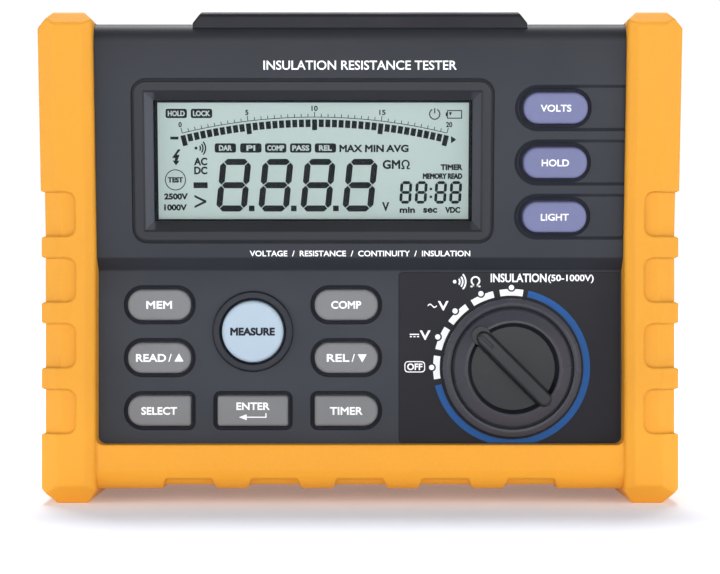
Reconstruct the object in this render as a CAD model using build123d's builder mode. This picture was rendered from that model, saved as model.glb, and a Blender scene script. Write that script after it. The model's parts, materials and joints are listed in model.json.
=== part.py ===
from build123d import *
import os
from math import cos, radians, sin, tan

# A portable insulation resistance tester in a rubber holster, in millimetres.
# X runs to the right, Y from the front panel to the back, and Z up. The origin
# is on the floor, under the middle of the object, which stands on its holster.
# The front panel has two halves: an upright keypad half below, and a display
# half above it that leans forward. Each half has its own plane, whose local x
# is X, whose local y runs up the panel, and whose normal points at the user.

# ------------------------------------------------------------ driving dimensions
WIDTH = 202.0
DEPTH = 94.0
HEIGHT = 155.8
FRONT_Y = -DEPTH / 2
BACK_Y = DEPTH / 2
LEAN = radians(7.0)

CASE_HALF_X = 91.5
CASE_BOTTOM_Z = 9.5
CASE_TOP_Z = 151.7
CASE_BACK_Y = 45.5
CASE_CORNER = 8.0
WALL = 2.6
PART_Y = 0.0

KEYPAD_Y = -30.0
STEP_LOW_Z = 74.0
STEP_TOP_Z = 78.0
STEP_TOP_Y = -34.0

BOARD_GAP = 8.0
BOARD_THICK = 1.6
KEY_TRAVEL = 1.2
FIT = 0.3

SCREW_R = 1.45
SCREW_HOLE_R = 1.5

KEYPAD = Plane(origin=(0, KEYPAD_Y, 0), x_dir=(1, 0, 0), z_dir=(0, -1, 0))
DISPLAY = Plane(
    origin=(0, STEP_TOP_Y, STEP_TOP_Z), x_dir=(1, 0, 0), z_dir=(0, -cos(LEAN), -sin(LEAN))
)


def upright(y):
    """The plane across the object at depth y, with its normal towards the front."""
    return Plane.XZ.offset(-y)


def panel_y(z):
    """Depth of the front panel's outer face at height z."""
    if z <= STEP_LOW_Z:
        return KEYPAD_Y
    return STEP_TOP_Y - (z - STEP_TOP_Z) * tan(LEAN)


def save(piece, name):
    """Labels a finished piece and writes its STEP file."""
    piece.label = name
    export_step(piece, f"parts/{name}.step")


os.makedirs("parts", exist_ok=True)


# ------------------------------------------------------------ the case's envelope
CASE_SIDE = [
    (KEYPAD_Y, CASE_BOTTOM_Z),
    (KEYPAD_Y, STEP_LOW_Z),
    (STEP_TOP_Y, STEP_TOP_Z),
    (panel_y(CASE_TOP_Z), CASE_TOP_Z),
    (CASE_BACK_Y, CASE_TOP_Z),
    (CASE_BACK_Y, CASE_BOTTOM_Z),
]
CASE_ROUNDING = [3.0, 1.2, 1.0, 6.0, 5.0, 4.0]


def case_block(inset):
    """The solid envelope of the case, with every face drawn in by inset."""
    with BuildPart() as block:
        with BuildSketch(Plane.YZ) as side:
            with BuildLine():
                Polyline(*CASE_SIDE, close=True)
            make_face()
            if inset:
                offset(amount=-inset, kind=Kind.INTERSECTION)
            for corner, radius in zip(CASE_SIDE, CASE_ROUNDING):
                nearest = side.vertices().sort_by_distance((*corner, 0))[0]
                fillet(nearest, max(radius - inset, 0.4))
        extrude(amount=CASE_HALF_X - inset, both=True)
        with BuildSketch(Plane.XZ):
            with Locations((0, (CASE_BOTTOM_Z + CASE_TOP_Z) / 2)):
                RectangleRounded(
                    2 * (CASE_HALF_X - inset),
                    CASE_TOP_Z - CASE_BOTTOM_Z - 2 * inset,
                    CASE_CORNER - inset,
                )
        extrude(amount=DEPTH, both=True, mode=Mode.INTERSECT)
    return block.part


case_solid = case_block(0)
case_cavity = case_block(WALL)


# ------------------------------------------------------------ fasteners
def pan_screw(length, radius, head_radius, head_height):
    """A cross-head screw along Z, its head seated on z = 0 and its thread below."""
    with BuildPart() as screw:
        with BuildSketch(Plane.XY):
            Circle(head_radius)
        extrude(amount=head_height)
        fillet(screw.edges().group_by(Axis.Z)[-1], head_height * 0.45)
        with BuildSketch(Plane.XY):
            Circle(radius)
        extrude(amount=-length)
        chamfer(screw.edges().group_by(Axis.Z)[0], radius * 0.3)
        with BuildSketch(Plane.XY.offset(head_height)):
            Rectangle(head_radius * 1.1, head_radius * 0.26)
            Rectangle(head_radius * 0.26, head_radius * 1.1)
        extrude(amount=-head_height * 0.6, mode=Mode.SUBTRACT)
    return screw.part


def from_behind(spots, y):
    """Places for screws driven towards the front, seated at depth y."""
    return [Plane(origin=(x, y, z), x_dir=(1, 0, 0), z_dir=(0, 1, 0)) for x, z in spots]


# ------------------------------------------------------------ keys
KEY_WIDE, KEY_HIGH = 20.1, 9.7
ENTER_WIDE = 22.5
ROUND_END, SQUARE_END = 4.6, 0.9
MEASURE_R = 9.8
KEY_PROUD = 1.8
MEASURE_PROUD = 2.6
KEY_FLANGE = 1.1
FLANGE_THICK = 0.9
BOSS_IN = 1.8
BOSS_DEPTH = BOARD_GAP - KEY_TRAVEL - 0.4
MAT_THICK = 1.1
COLLAR_TOP = 5.3
RECESS_GROW, RECESS_DEEP = 1.35, 1.1

KEY_COLUMNS = (-64.0, -34.2, -4.4)
KEY_ROWS = (63.0, 46.1, 29.2)
SIDE_KEY_X = 61.5
SIDE_KEY_PITCH = 17.15
SIDE_KEY_MIDDLE = 30.2
MEASURE_CENTRE = (KEY_COLUMNS[1], 54.5)

SIDE_KEYS = {
    "key_test_voltage": (SIDE_KEY_X, SIDE_KEY_MIDDLE + SIDE_KEY_PITCH, "oval"),
    "key_hold": (SIDE_KEY_X, SIDE_KEY_MIDDLE, "oval"),
    "key_light": (SIDE_KEY_X, SIDE_KEY_MIDDLE - SIDE_KEY_PITCH, "oval"),
}
PAD_KEYS = {
    "key_memory": (KEY_COLUMNS[0], KEY_ROWS[0], "oval"),
    "key_read": (KEY_COLUMNS[0], KEY_ROWS[1], "oval"),
    "key_select": (KEY_COLUMNS[0], KEY_ROWS[2], "round_left"),
    "key_compare": (KEY_COLUMNS[2], KEY_ROWS[0], "oval"),
    "key_relative": (KEY_COLUMNS[2], KEY_ROWS[1], "oval"),
    "key_timer": (KEY_COLUMNS[2], KEY_ROWS[2], "round_right"),
    "key_enter": (KEY_COLUMNS[1], KEY_ROWS[2], "box"),
    "measure_button": (*MEASURE_CENTRE, "disc"),
}


def key_outline(shape, grow=0.0):
    """A key's outline about the origin, grown by grow on every side."""
    if shape == "disc":
        with BuildSketch() as disc:
            Circle(MEASURE_R + grow)
        return disc.sketch
    left = SQUARE_END if shape in ("box", "round_right") else ROUND_END
    right = SQUARE_END if shape in ("box", "round_left") else ROUND_END
    wide = ENTER_WIDE if shape == "box" else KEY_WIDE
    with BuildSketch() as outline:
        Rectangle(wide + 2 * grow, KEY_HIGH + 2 * grow)
        fillet(outline.vertices().group_by(Axis.X)[0], max(left + grow, 0.4))
        fillet(outline.vertices().group_by(Axis.X)[-1], max(right + grow, 0.4))
    return outline.sketch


def outlines(keys, grow):
    """Every key's outline, placed in its panel's plane and grown by grow."""
    return [
        key_outline(shape, grow).moved(Location((x, up, 0))) for x, up, shape in keys.values()
    ]


def make_key(plane, x, up, shape):
    """One key: the cap that shows, its retaining flange and the boss over the contact."""
    proud = MEASURE_PROUD if shape == "disc" else KEY_PROUD
    flange_top = WALL + 0.15 + (0.3 if shape == "disc" else 0.0)
    flange = KEY_FLANGE + (0.9 if shape == "disc" else 0.0)
    place = Location((x, up, 0))
    cap = key_outline(shape).moved(place)
    skirt = key_outline(shape, flange).moved(place)
    boss = key_outline(shape, -BOSS_IN).moved(place)
    with BuildPart() as key:
        with BuildSketch(plane.offset(-flange_top)):
            add(cap)
        extrude(amount=flange_top + proud)
        top = key.faces().filter_by(Axis(plane.origin, plane.z_dir)).sort_by(
            Axis(plane.origin, plane.z_dir)
        )[-1]
        fillet(top.edges(), 0.9 if shape != "disc" else 1.2)
        with BuildSketch(plane.offset(-flange_top)):
            add(skirt)
        extrude(amount=-FLANGE_THICK)
        with BuildSketch(plane.offset(-flange_top - FLANGE_THICK)):
            add(boss)
        extrude(amount=-(BOSS_DEPTH - flange_top - FLANGE_THICK))
    return key.part


def make_mat(plane, keys, left, right, low, high):
    """A silicone mat on the board, with a soft collar round each key's boss."""
    holes = outlines(keys, FIT - BOSS_IN)
    collars = outlines(keys, FIT + 0.8 - BOSS_IN)
    with BuildPart() as mat:
        with BuildSketch(plane.offset(-BOARD_GAP)):
            with Locations(((left + right) / 2, (low + high) / 2)):
                RectangleRounded(right - left, high - low, 3)
        extrude(amount=MAT_THICK)
        with BuildSketch(plane.offset(-BOARD_GAP + MAT_THICK)):
            add(collars)
        extrude(amount=BOARD_GAP - MAT_THICK - COLLAR_TOP)
        with BuildSketch(plane.offset(-BOARD_GAP)):
            add(holes)
        extrude(amount=BOARD_GAP - COLLAR_TOP, mode=Mode.SUBTRACT)
    return mat.part


for name, (x, up, shape) in SIDE_KEYS.items():
    save(make_key(DISPLAY, x, up, shape), name)
for name, (x, up, shape) in PAD_KEYS.items():
    save(make_key(KEYPAD, x, up, shape), name)

save(make_mat(DISPLAY, SIDE_KEYS, 48.5, 74.5, 4.0, 56.4), "side_keypad_mat")
save(make_mat(KEYPAD, PAD_KEYS, -75.6, 8.6, 21.0, 68.2), "main_keypad_mat")

# The measure button stands in its own raised ring.
RING_R = 12.9
RING_NECK_R = 11.1
RING_BORE_R = MEASURE_R + 0.35
with BuildPart() as measure_ring:
    with BuildSketch(KEYPAD):
        with Locations(MEASURE_CENTRE):
            Circle(RING_R)
    extrude(amount=1.5)
    fillet(measure_ring.edges().group_by(Axis.Y)[0], 0.7)
    with BuildSketch(KEYPAD):
        with Locations(MEASURE_CENTRE):
            Circle(RING_NECK_R - 0.05)
    extrude(amount=-WALL - 0.2)
    with BuildSketch(KEYPAD.offset(1.5)):
        with Locations(MEASURE_CENTRE):
            Circle(RING_BORE_R)
    extrude(amount=-WALL - 1.7, mode=Mode.SUBTRACT)
    chamfer(measure_ring.edges().group_by(Axis.Y)[0].sort_by(SortBy.RADIUS)[0], 0.6)
save(measure_ring.part, "measure_ring")


# ------------------------------------------------------------ display
DISPLAY_X = -14.9
DISPLAY_UP = 30.6
BEZEL_WIDE, BEZEL_HIGH, BEZEL_CORNER = 112.9, 50.5, 4.0
NECK_WIDE, NECK_HIGH = 107.0, 44.6
GLASS_WIDE, GLASS_HIGH = 101.0, 38.4
SLOPE = 3.1
BEZEL_PROUD = 0.6
BEZEL_SEAT, BEZEL_GAP = 1.2, 0.75
BEZEL_DEEP = 3.0
WINDOW_THICK = 1.4
LCD_TOP, LCD_THICK = 5.0, 1.8
STRIP_INSET = 21.2


def display_sketch_at(depth):
    """The display half's plane moved inwards by depth, about the display's centre."""
    return Plane(
        origin=DISPLAY.from_local_coords((DISPLAY_X, DISPLAY_UP, -depth)),
        x_dir=DISPLAY.x_dir,
        z_dir=DISPLAY.z_dir,
    )


with BuildPart() as display_bezel:
    with BuildSketch(display_sketch_at(BEZEL_SEAT)):
        RectangleRounded(BEZEL_WIDE, BEZEL_HIGH, BEZEL_CORNER)
    extrude(amount=BEZEL_SEAT + BEZEL_PROUD)
    outer_face = display_bezel.faces().filter_by(Axis((0, 0, 0), DISPLAY.z_dir)).sort_by(
        Axis((0, 0, 0), DISPLAY.z_dir)
    )[-1]
    fillet(outer_face.edges(), 0.6)
    with BuildSketch(display_sketch_at(BEZEL_SEAT)):
        RectangleRounded(NECK_WIDE, NECK_HIGH, 1.5)
    extrude(amount=BEZEL_SEAT - BEZEL_DEEP)
    with BuildSketch(display_sketch_at(-BEZEL_PROUD - 0.01)):
        Rectangle(GLASS_WIDE + 2 * SLOPE, GLASS_HIGH + 2 * SLOPE)
    with BuildSketch(display_sketch_at(BEZEL_DEEP - 0.5)):
        Rectangle(GLASS_WIDE, GLASS_HIGH)
    loft(mode=Mode.SUBTRACT)
    with BuildSketch(display_sketch_at(BEZEL_DEEP - 0.6)):
        Rectangle(GLASS_WIDE, GLASS_HIGH)
    extrude(amount=-1, mode=Mode.SUBTRACT)
save(display_bezel.part, "display_bezel")

with BuildPart() as display_window:
    with BuildSketch(display_sketch_at(BEZEL_DEEP)):
        RectangleRounded(NECK_WIDE - 2, NECK_HIGH - 2, 1)
    extrude(amount=-WINDOW_THICK)
save(display_window.part, "display_window")

with BuildPart() as lcd_glass:
    with BuildSketch(display_sketch_at(LCD_TOP)):
        Rectangle(NECK_WIDE - 3, NECK_HIGH)
    extrude(amount=-LCD_THICK)
save(lcd_glass.part, "lcd_glass")

with BuildPart() as lcd_backlight:
    with BuildSketch(display_sketch_at(LCD_TOP + LCD_THICK)):
        Rectangle(NECK_WIDE - 3, 2 * STRIP_INSET - 4)
    extrude(amount=-(BOARD_GAP - LCD_TOP - LCD_THICK))
save(lcd_backlight.part, "lcd_backlight")

with BuildPart() as lcd_contact_strips:
    with BuildSketch(display_sketch_at(LCD_TOP + LCD_THICK)):
        with GridLocations(0, 2 * STRIP_INSET, 1, 2):
            Rectangle(NECK_WIDE - 6, 2.2)
    extrude(amount=-(BOARD_GAP - LCD_TOP - LCD_THICK))
save(lcd_contact_strips.part, "lcd_contact_strips")


# ------------------------------------------------------------ selector switch
KNOB_X, KNOB_Z = 48.4, 43.0
POINTER_ANGLE = 135.0
OVERLAY_LEFT, OVERLAY_RIGHT = 12.5, 82.9
OVERLAY_LOW, OVERLAY_HIGH = 18.9, 73.3
OVERLAY_THICK = 0.3
OVERLAY_SUNK = 0.2
SHAFT_R = 3.0
KNOB_R = 22.0
ROTOR_R = 15.0
DETENT_R = 16.2

KNOB_AXIS = Plane(origin=(KNOB_X, KEYPAD_Y, KNOB_Z), x_dir=(1, 0, 0), z_dir=(0, -1, 0))
KNOB_SECTION = Plane(origin=(KNOB_X, KEYPAD_Y, KNOB_Z), x_dir=(1, 0, 0), z_dir=(0, 0, 1))


def overlay_outline(grow):
    """The dial overlay's outline on the keypad, grown by grow on every side."""
    with BuildSketch() as sheet:
        with Locations(((OVERLAY_LEFT + OVERLAY_RIGHT) / 2, (OVERLAY_LOW + OVERLAY_HIGH) / 2)):
            Rectangle(
                OVERLAY_RIGHT - OVERLAY_LEFT + 2 * grow, OVERLAY_HIGH - OVERLAY_LOW + 2 * grow
            )
        fillet(sheet.vertices().sort_by_distance((OVERLAY_RIGHT, OVERLAY_LOW, 0))[0], 2.6 + grow)
        fillet(sheet.vertices().group_by(Axis.X)[0], 1.2 + grow)
    return sheet.sketch


overlay_sheet = overlay_outline(0)
overlay_seat = overlay_outline(0.1)
with BuildPart() as dial_overlay:
    with BuildSketch(KEYPAD.offset(-OVERLAY_SUNK)):
        add(overlay_sheet)
        with Locations((KNOB_X, KNOB_Z)):
            Circle(SHAFT_R + 1.2, mode=Mode.SUBTRACT)
    extrude(amount=OVERLAY_THICK)
save(dial_overlay.part, "dial_overlay")

# Half the knob's section: radius across, height above the panel along the axis.
KNOB_PROFILE = [
    (0, 4.6),
    (17.6, 4.6),
    (17.6, 0.8),
    (KNOB_R, 0.8),
    (KNOB_R, 3.4),
    (20.6, 5.0),
    (19.6, 4.9),
    (19.0, 4.0),
    (18.4, 5.4),
    (15.2, 9.2),
    (14.4, 9.3),
    (13.2, 6.6),
    (0, 6.6),
]
GRIP_LONG, GRIP_TOP = 33.4, 12.2
GRIP_FOOT, GRIP_CREST = 6.0, 4.3
HOOD_R, HOOD_TOP, HOOD_ORBIT = 3.0, 10.9, 14.6
with BuildPart() as selector_knob:
    with BuildSketch(KNOB_SECTION) as section:
        with BuildLine():
            Polyline(*[(r, -h) for r, h in KNOB_PROFILE], close=True)
        make_face()
        for radius, height, softness in ((KNOB_R, 3.4, 1.0), (20.6, 5.0, 0.7), (15.2, 9.2, 0.5)):
            fillet(section.vertices().sort_by_distance((radius, -height, 0))[0], softness)
    revolve(axis=Axis((KNOB_X, KEYPAD_Y, KNOB_Z), (0, -1, 0)))
    with BuildSketch(KNOB_AXIS.offset(5.0)):
        Circle(5.5)
    extrude(amount=-4.2)
    with BuildSketch(KNOB_AXIS.offset(5.0)):
        SlotOverall(GRIP_LONG, GRIP_FOOT, rotation=POINTER_ANGLE)
    with BuildSketch(KNOB_AXIS.offset(GRIP_TOP)):
        SlotOverall(GRIP_LONG - 2.4, GRIP_CREST, rotation=POINTER_ANGLE)
    loft()
    grip_top = selector_knob.faces().filter_by(Axis.Y).sort_by(Axis.Y)[0]
    fillet(grip_top.edges(), 0.7)
    # a broad hood round the pointing end of the grip
    with BuildSketch(KNOB_AXIS.offset(5.0)):
        with PolarLocations(HOOD_ORBIT, 1, start_angle=POINTER_ANGLE):
            Circle(HOOD_R)
    extrude(amount=HOOD_TOP - 5.0)
    with BuildSketch(KNOB_AXIS.offset(0.8)):
        Circle(SHAFT_R + 0.05)
    extrude(amount=4.0, mode=Mode.SUBTRACT)
    with BuildSketch(KNOB_AXIS.offset(GRIP_TOP)):
        with PolarLocations(GRIP_LONG / 2 - 4.6, 1, start_angle=POINTER_ANGLE):
            Rectangle(5.2, 0.9)
    extrude(amount=-0.5, mode=Mode.SUBTRACT)
save(selector_knob.part, "selector_knob")

with BuildPart() as knob_shaft:
    with BuildSketch(KNOB_AXIS.offset(4.6)):
        Circle(SHAFT_R)
    extrude(amount=-15.2)
    chamfer(knob_shaft.edges().group_by(Axis.Y)[0], 0.4)
    chamfer(knob_shaft.edges().group_by(Axis.Y)[-1], 0.4)
save(knob_shaft.part, "knob_shaft")

ROTOR_TOP, ROTOR_LOW = 3.4, 5.4
BALL_R = 1.0
with BuildPart() as switch_rotor:
    with BuildSketch(KNOB_AXIS.offset(-ROTOR_TOP)):
        Circle(ROTOR_R)
    extrude(amount=ROTOR_TOP - ROTOR_LOW)
    with BuildSketch(KNOB_AXIS.offset(-ROTOR_LOW)):
        Circle(5.0)
    extrude(amount=-2.0)
    with BuildSketch(KNOB_AXIS.offset(-ROTOR_TOP)):
        Circle(SHAFT_R + 0.02)
        with PolarLocations(ROTOR_R, 2, start_angle=POINTER_ANGLE):
            Circle(BALL_R + 0.1)
    extrude(amount=-6.0, mode=Mode.SUBTRACT)
save(switch_rotor.part, "switch_rotor")

with BuildPart() as detent_balls:
    with Locations(KNOB_AXIS.offset(-(ROTOR_TOP + ROTOR_LOW) / 2)):
        with PolarLocations(ROTOR_R, 2, start_angle=POINTER_ANGLE):
            Sphere(BALL_R)
save(detent_balls.part, "detent_balls")

with BuildPart() as detent_ring:
    with BuildSketch(KNOB_AXIS.offset(-WALL)):
        Circle(18.6)
        Circle(DETENT_R, mode=Mode.SUBTRACT)
        with PolarLocations(DETENT_R + 0.3, 16, start_angle=POINTER_ANGLE):
            Circle(1.2, mode=Mode.SUBTRACT)
    extrude(amount=-3.2)
save(detent_ring.part, "detent_ring")

WIPER_THICK = 0.3
WIPER_WIDE = 2.2
# A wiper's side view: along its length, then its depth behind the panel.
WIPER_LINE = [(-5.0, ROTOR_LOW + 0.15), (-0.5, ROTOR_LOW + 0.15), (4.0, 7.75), (5.4, 7.3)]
with BuildPart() as wiper_contacts:
    for turn, radius in ((15, 7.0), (135, 9.7), (255, 12.4)):
        spoke = Vector(cos(radians(turn)), 0, sin(radians(turn)))
        root = Vector(KNOB_X, KEYPAD_Y, KNOB_Z) + spoke * (radius - WIPER_WIDE / 2)
        edge = Plane(origin=root, x_dir=spoke.cross(KNOB_AXIS.z_dir), z_dir=spoke)
        with BuildSketch(edge):
            with BuildLine():
                Polyline(*WIPER_LINE)
            trace(line_width=WIPER_THICK)
        extrude(amount=WIPER_WIDE)
save(wiper_contacts.part, "wiper_contacts")


# ------------------------------------------------------------ front case
CASE_SCREWS = [(-81.5, 22.0), (81.5, 22.0), (-81.5, 141.0), (81.5, 141.0)]
MAIN_BOARD_SCREWS = [
    (-79.0, 46.0),
    (-49.2, 71.4),
    (-19.2, 71.4),
    (-49.2, 17.5),
    (79.5, 68.0),
    (26.0, 68.0),
]
DISPLAY_BOARD_SCREWS = [(-77.0, 20.0), (-77.0, 50.0), (45.2, 22.0), (45.2, 48.0), (79.0, 36.0)]
PILLAR_R = 3.0
PILOT_R = 1.2
TERMINAL_Y = -10.0
TERMINAL_HALF_X, TERMINAL_HALF_Y = 44.0, 13.0
BAND_HIGH, BAND_DEEP, BAND_LEFT = 14.6, 0.9, 48.7
BAND_LONG, BAND_SLOPE = 120.0, 1.0


def case_pillars():
    """Tall bosses in the front case that take the four case screws."""
    with BuildPart() as pillars:
        with BuildSketch(upright(PART_Y)):
            with Locations(CASE_SCREWS):
                Circle(4.5)
        extrude(amount=DEPTH / 2)
    return pillars.part & case_block(WALL / 2)


front_pillars = case_pillars()
pad_openings = outlines({k: v for k, v in PAD_KEYS.items() if v[2] != "disc"}, FIT)
pad_recesses = outlines({k: v for k, v in PAD_KEYS.items() if v[2] != "disc"}, RECESS_GROW)
side_openings = outlines(SIDE_KEYS, FIT)
side_recesses = outlines(SIDE_KEYS, RECESS_GROW)

with BuildPart() as front_case:
    add(case_solid)
    add(case_cavity, mode=Mode.SUBTRACT)
    split(bisect_by=upright(PART_Y), keep=Keep.TOP)
    add(front_pillars)
    with BuildSketch(upright(PART_Y)):
        with Locations(CASE_SCREWS):
            Circle(PILOT_R)
    extrude(amount=16, mode=Mode.SUBTRACT)
    # pillars for the two boards
    with BuildSketch(KEYPAD.offset(-BOARD_GAP)):
        with Locations(MAIN_BOARD_SCREWS):
            Circle(PILLAR_R)
            Circle(PILOT_R, mode=Mode.SUBTRACT)
    extrude(amount=BOARD_GAP - WALL + 0.2)
    with BuildSketch(DISPLAY.offset(-BOARD_GAP)):
        with Locations(DISPLAY_BOARD_SCREWS):
            Circle(PILLAR_R)
            Circle(PILOT_R, mode=Mode.SUBTRACT)
    extrude(amount=BOARD_GAP - WALL + 0.2)
    # seat and opening for the display bezel
    with BuildSketch(display_sketch_at(-1)):
        RectangleRounded(
            BEZEL_WIDE + 2 * BEZEL_GAP, BEZEL_HIGH + 2 * BEZEL_GAP, BEZEL_CORNER + BEZEL_GAP
        )
    extrude(amount=-1 - BEZEL_SEAT, mode=Mode.SUBTRACT)
    with BuildSketch(display_sketch_at(0)):
        RectangleRounded(NECK_WIDE + 0.6, NECK_HIGH + 0.6, 1.8)
    extrude(amount=-6, mode=Mode.SUBTRACT)
    # sunk bands with sloping sides that run from each side key to the holster
    for x, up, shape in SIDE_KEYS.values():
        for depth, inset in ((0, 0), (BAND_DEEP, BAND_SLOPE)):
            with BuildSketch(DISPLAY.offset(-depth)):
                with Locations((BAND_LEFT + BAND_LONG / 2, up)):
                    SlotOverall(BAND_LONG - 2 * inset, BAND_HIGH - 2 * inset)
        loft(mode=Mode.SUBTRACT)
    # key openings, each in its own shallow recess
    with BuildSketch(DISPLAY):
        add(side_recesses)
    extrude(amount=-BAND_DEEP - 0.6, mode=Mode.SUBTRACT)
    with BuildSketch(DISPLAY):
        add(side_openings)
    extrude(amount=-WALL - 0.5, mode=Mode.SUBTRACT)
    with BuildSketch(KEYPAD):
        add(pad_recesses)
    extrude(amount=-RECESS_DEEP, mode=Mode.SUBTRACT)
    with BuildSketch(KEYPAD):
        add(pad_openings)
        with Locations(MEASURE_CENTRE):
            Circle(RING_NECK_R)
        with Locations((KNOB_X, KNOB_Z)):
            Circle(SHAFT_R + 0.6)
    extrude(amount=-WALL - 0.5, mode=Mode.SUBTRACT)
    # seat for the dial overlay
    with BuildSketch(KEYPAD):
        add(overlay_seat)
    extrude(amount=-OVERLAY_SUNK, mode=Mode.SUBTRACT)
    # opening in the top for the terminal block
    with BuildSketch(Plane.XY.offset(CASE_TOP_Z - 6)):
        with Locations((0, TERMINAL_Y)):
            Rectangle(2 * TERMINAL_HALF_X + 0.6, 2 * TERMINAL_HALF_Y + 0.6)
    extrude(amount=10, mode=Mode.SUBTRACT)
save(front_case.part, "front_case")


# ------------------------------------------------------------ circuit boards
with BuildPart() as main_board:
    with BuildSketch(KEYPAD.offset(-BOARD_GAP)) as board:
        with Locations((0, 44.75)):
            Rectangle(170, 62.5)
        fillet(board.vertices(), 2)
        with Locations(MAIN_BOARD_SCREWS):
            Circle(1.7, mode=Mode.SUBTRACT)
        with Locations((KNOB_X, KNOB_Z)):
            Circle(SHAFT_R + 0.2, mode=Mode.SUBTRACT)
        with Locations(CASE_SCREWS[0], CASE_SCREWS[1]):
            Circle(5.0, mode=Mode.SUBTRACT)
    extrude(amount=-BOARD_THICK)
save(main_board.part, "main_board")

with BuildPart() as display_board:
    with BuildSketch(DISPLAY.offset(-BOARD_GAP)) as board:
        with Locations((0, 30.0)):
            Rectangle(170, 53)
        fillet(board.vertices(), 2)
        with Locations(DISPLAY_BOARD_SCREWS):
            Circle(1.7, mode=Mode.SUBTRACT)
    extrude(amount=-BOARD_THICK)
save(display_board.part, "display_board")

board_screw = pan_screw(5.0, PILOT_R - 0.02, 2.6, 1.6)
with BuildPart() as main_board_screws:
    for spot in from_behind(MAIN_BOARD_SCREWS, KEYPAD_Y + BOARD_GAP + BOARD_THICK):
        with Locations(spot):
            add(board_screw)
save(main_board_screws.part, "main_board_screws")

with BuildPart() as display_board_screws:
    for x, up in DISPLAY_BOARD_SCREWS:
        seat = DISPLAY.from_local_coords((x, up, -BOARD_GAP - BOARD_THICK))
        with Locations(Plane(origin=seat, x_dir=(1, 0, 0), z_dir=-DISPLAY.z_dir)):
            add(board_screw)
save(display_board_screws.part, "display_board_screws")

BOARD_BACK_Y = KEYPAD_Y + BOARD_GAP + BOARD_THICK
with BuildPart() as processor_chip:
    with Locations((-50.0, BOARD_BACK_Y + 0.9, 45.0)):
        Box(14, 1.6, 14)
    chamfer(processor_chip.edges().filter_by(Axis.Y), 0.8)
    with BuildSketch(upright(BOARD_BACK_Y + 0.1)):
        for turn in (0, 90):
            with Locations(Location((-50.0, 45.0, 0), (0, 0, turn))):
                with GridLocations(1.27, 17.0, 10, 2):
                    Rectangle(0.5, 2.6)
    extrude(amount=-0.35)
save(processor_chip.part, "processor_chip")

with BuildPart() as buzzer:
    with BuildSketch(upright(BOARD_BACK_Y)):
        with Locations((-8.0, 45.0)):
            Circle(6.0)
    extrude(amount=-7.5)
    fillet(buzzer.edges().group_by(Axis.Y)[-1], 0.8)
    with BuildSketch(upright(BOARD_BACK_Y + 7.5)):
        with Locations((-8.0, 45.0)):
            Circle(1.1)
    extrude(amount=2.0, mode=Mode.SUBTRACT)
save(buzzer.part, "buzzer")

# The power board carries the high-voltage converter, behind the main board.
POWER_FRONT_Y = 4.4
POWER_BACK_Y = POWER_FRONT_Y + BOARD_THICK
POWER_SCREWS = [(-62.0, 30.0), (62.0, 30.0), (-62.0, 112.0), (62.0, 112.0)]
with BuildPart() as power_board:
    with BuildSketch(upright(POWER_FRONT_Y)) as board:
        with Locations((0, 71.0)):
            Rectangle(134, 92)
        fillet(board.vertices(), 2)
        with Locations(POWER_SCREWS):
            Circle(1.7, mode=Mode.SUBTRACT)
    extrude(amount=-BOARD_THICK)
save(power_board.part, "power_board")

with BuildPart() as power_board_screws:
    for x, z in POWER_SCREWS:
        with Locations(Plane(origin=(x, POWER_FRONT_Y, z), x_dir=(1, 0, 0), z_dir=(0, -1, 0))):
            add(board_screw)
save(power_board_screws.part, "power_board_screws")

TRANSFORMER_X, TRANSFORMER_Z = -34.0, 92.0
with BuildPart() as transformer_core:
    with Locations((TRANSFORMER_X, POWER_FRONT_Y - 9.0, TRANSFORMER_Z)):
        Box(30, 10, 26)
        Box(30 - 12, 10, 26 - 12, mode=Mode.SUBTRACT)
        Box(6, 10, 26)
    chamfer(transformer_core.edges().filter_by(Axis.Y), 0.3)
save(transformer_core.part, "transformer_core")

with BuildPart() as transformer_winding:
    with Locations((TRANSFORMER_X, POWER_FRONT_Y - 9.0, TRANSFORMER_Z)):
        Box(17.6, 17.8, 13.6)
        fillet(transformer_winding.edges().filter_by(Axis.Z), 1.5)
        Box(6.2, 10.2, 30, mode=Mode.SUBTRACT)
save(transformer_winding.part, "transformer_winding")

with BuildPart() as storage_capacitors:
    with BuildSketch(upright(POWER_FRONT_Y)):
        with Locations((4.0, 98.0), (4.0, 82.0), (20.0, 98.0)):
            Circle(6.3)
    extrude(amount=16)
    fillet(storage_capacitors.edges().group_by(Axis.Y)[0], 0.8)
save(storage_capacitors.part, "storage_capacitors")

with BuildPart() as relays:
    with BuildSketch(upright(POWER_FRONT_Y)):
        with Locations((42.0, 96.0), (42.0, 76.0), (-38.0, 52.0)):
            RectangleRounded(19, 15, 0.8)
    extrude(amount=14)
    fillet(relays.edges().group_by(Axis.Y)[0], 0.6)
save(relays.part, "relays")

FUSE_X, FUSE_Z = 10.0, 48.0
FUSE_CAP_X = 13.0
FUSE_Y = POWER_FRONT_Y - 6.0
with BuildPart() as fuse:
    with Locations(Plane(origin=(FUSE_X, FUSE_Y, FUSE_Z), x_dir=(0, 1, 0), z_dir=(1, 0, 0))):
        Cylinder(3.0, 32)
    for shift in (-FUSE_CAP_X, FUSE_CAP_X):
        with Locations(
            Plane(origin=(FUSE_X + shift, FUSE_Y, FUSE_Z), x_dir=(0, 1, 0), z_dir=(1, 0, 0))
        ):
            Cylinder(3.25, 6)
save(fuse.part, "fuse")

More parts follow.
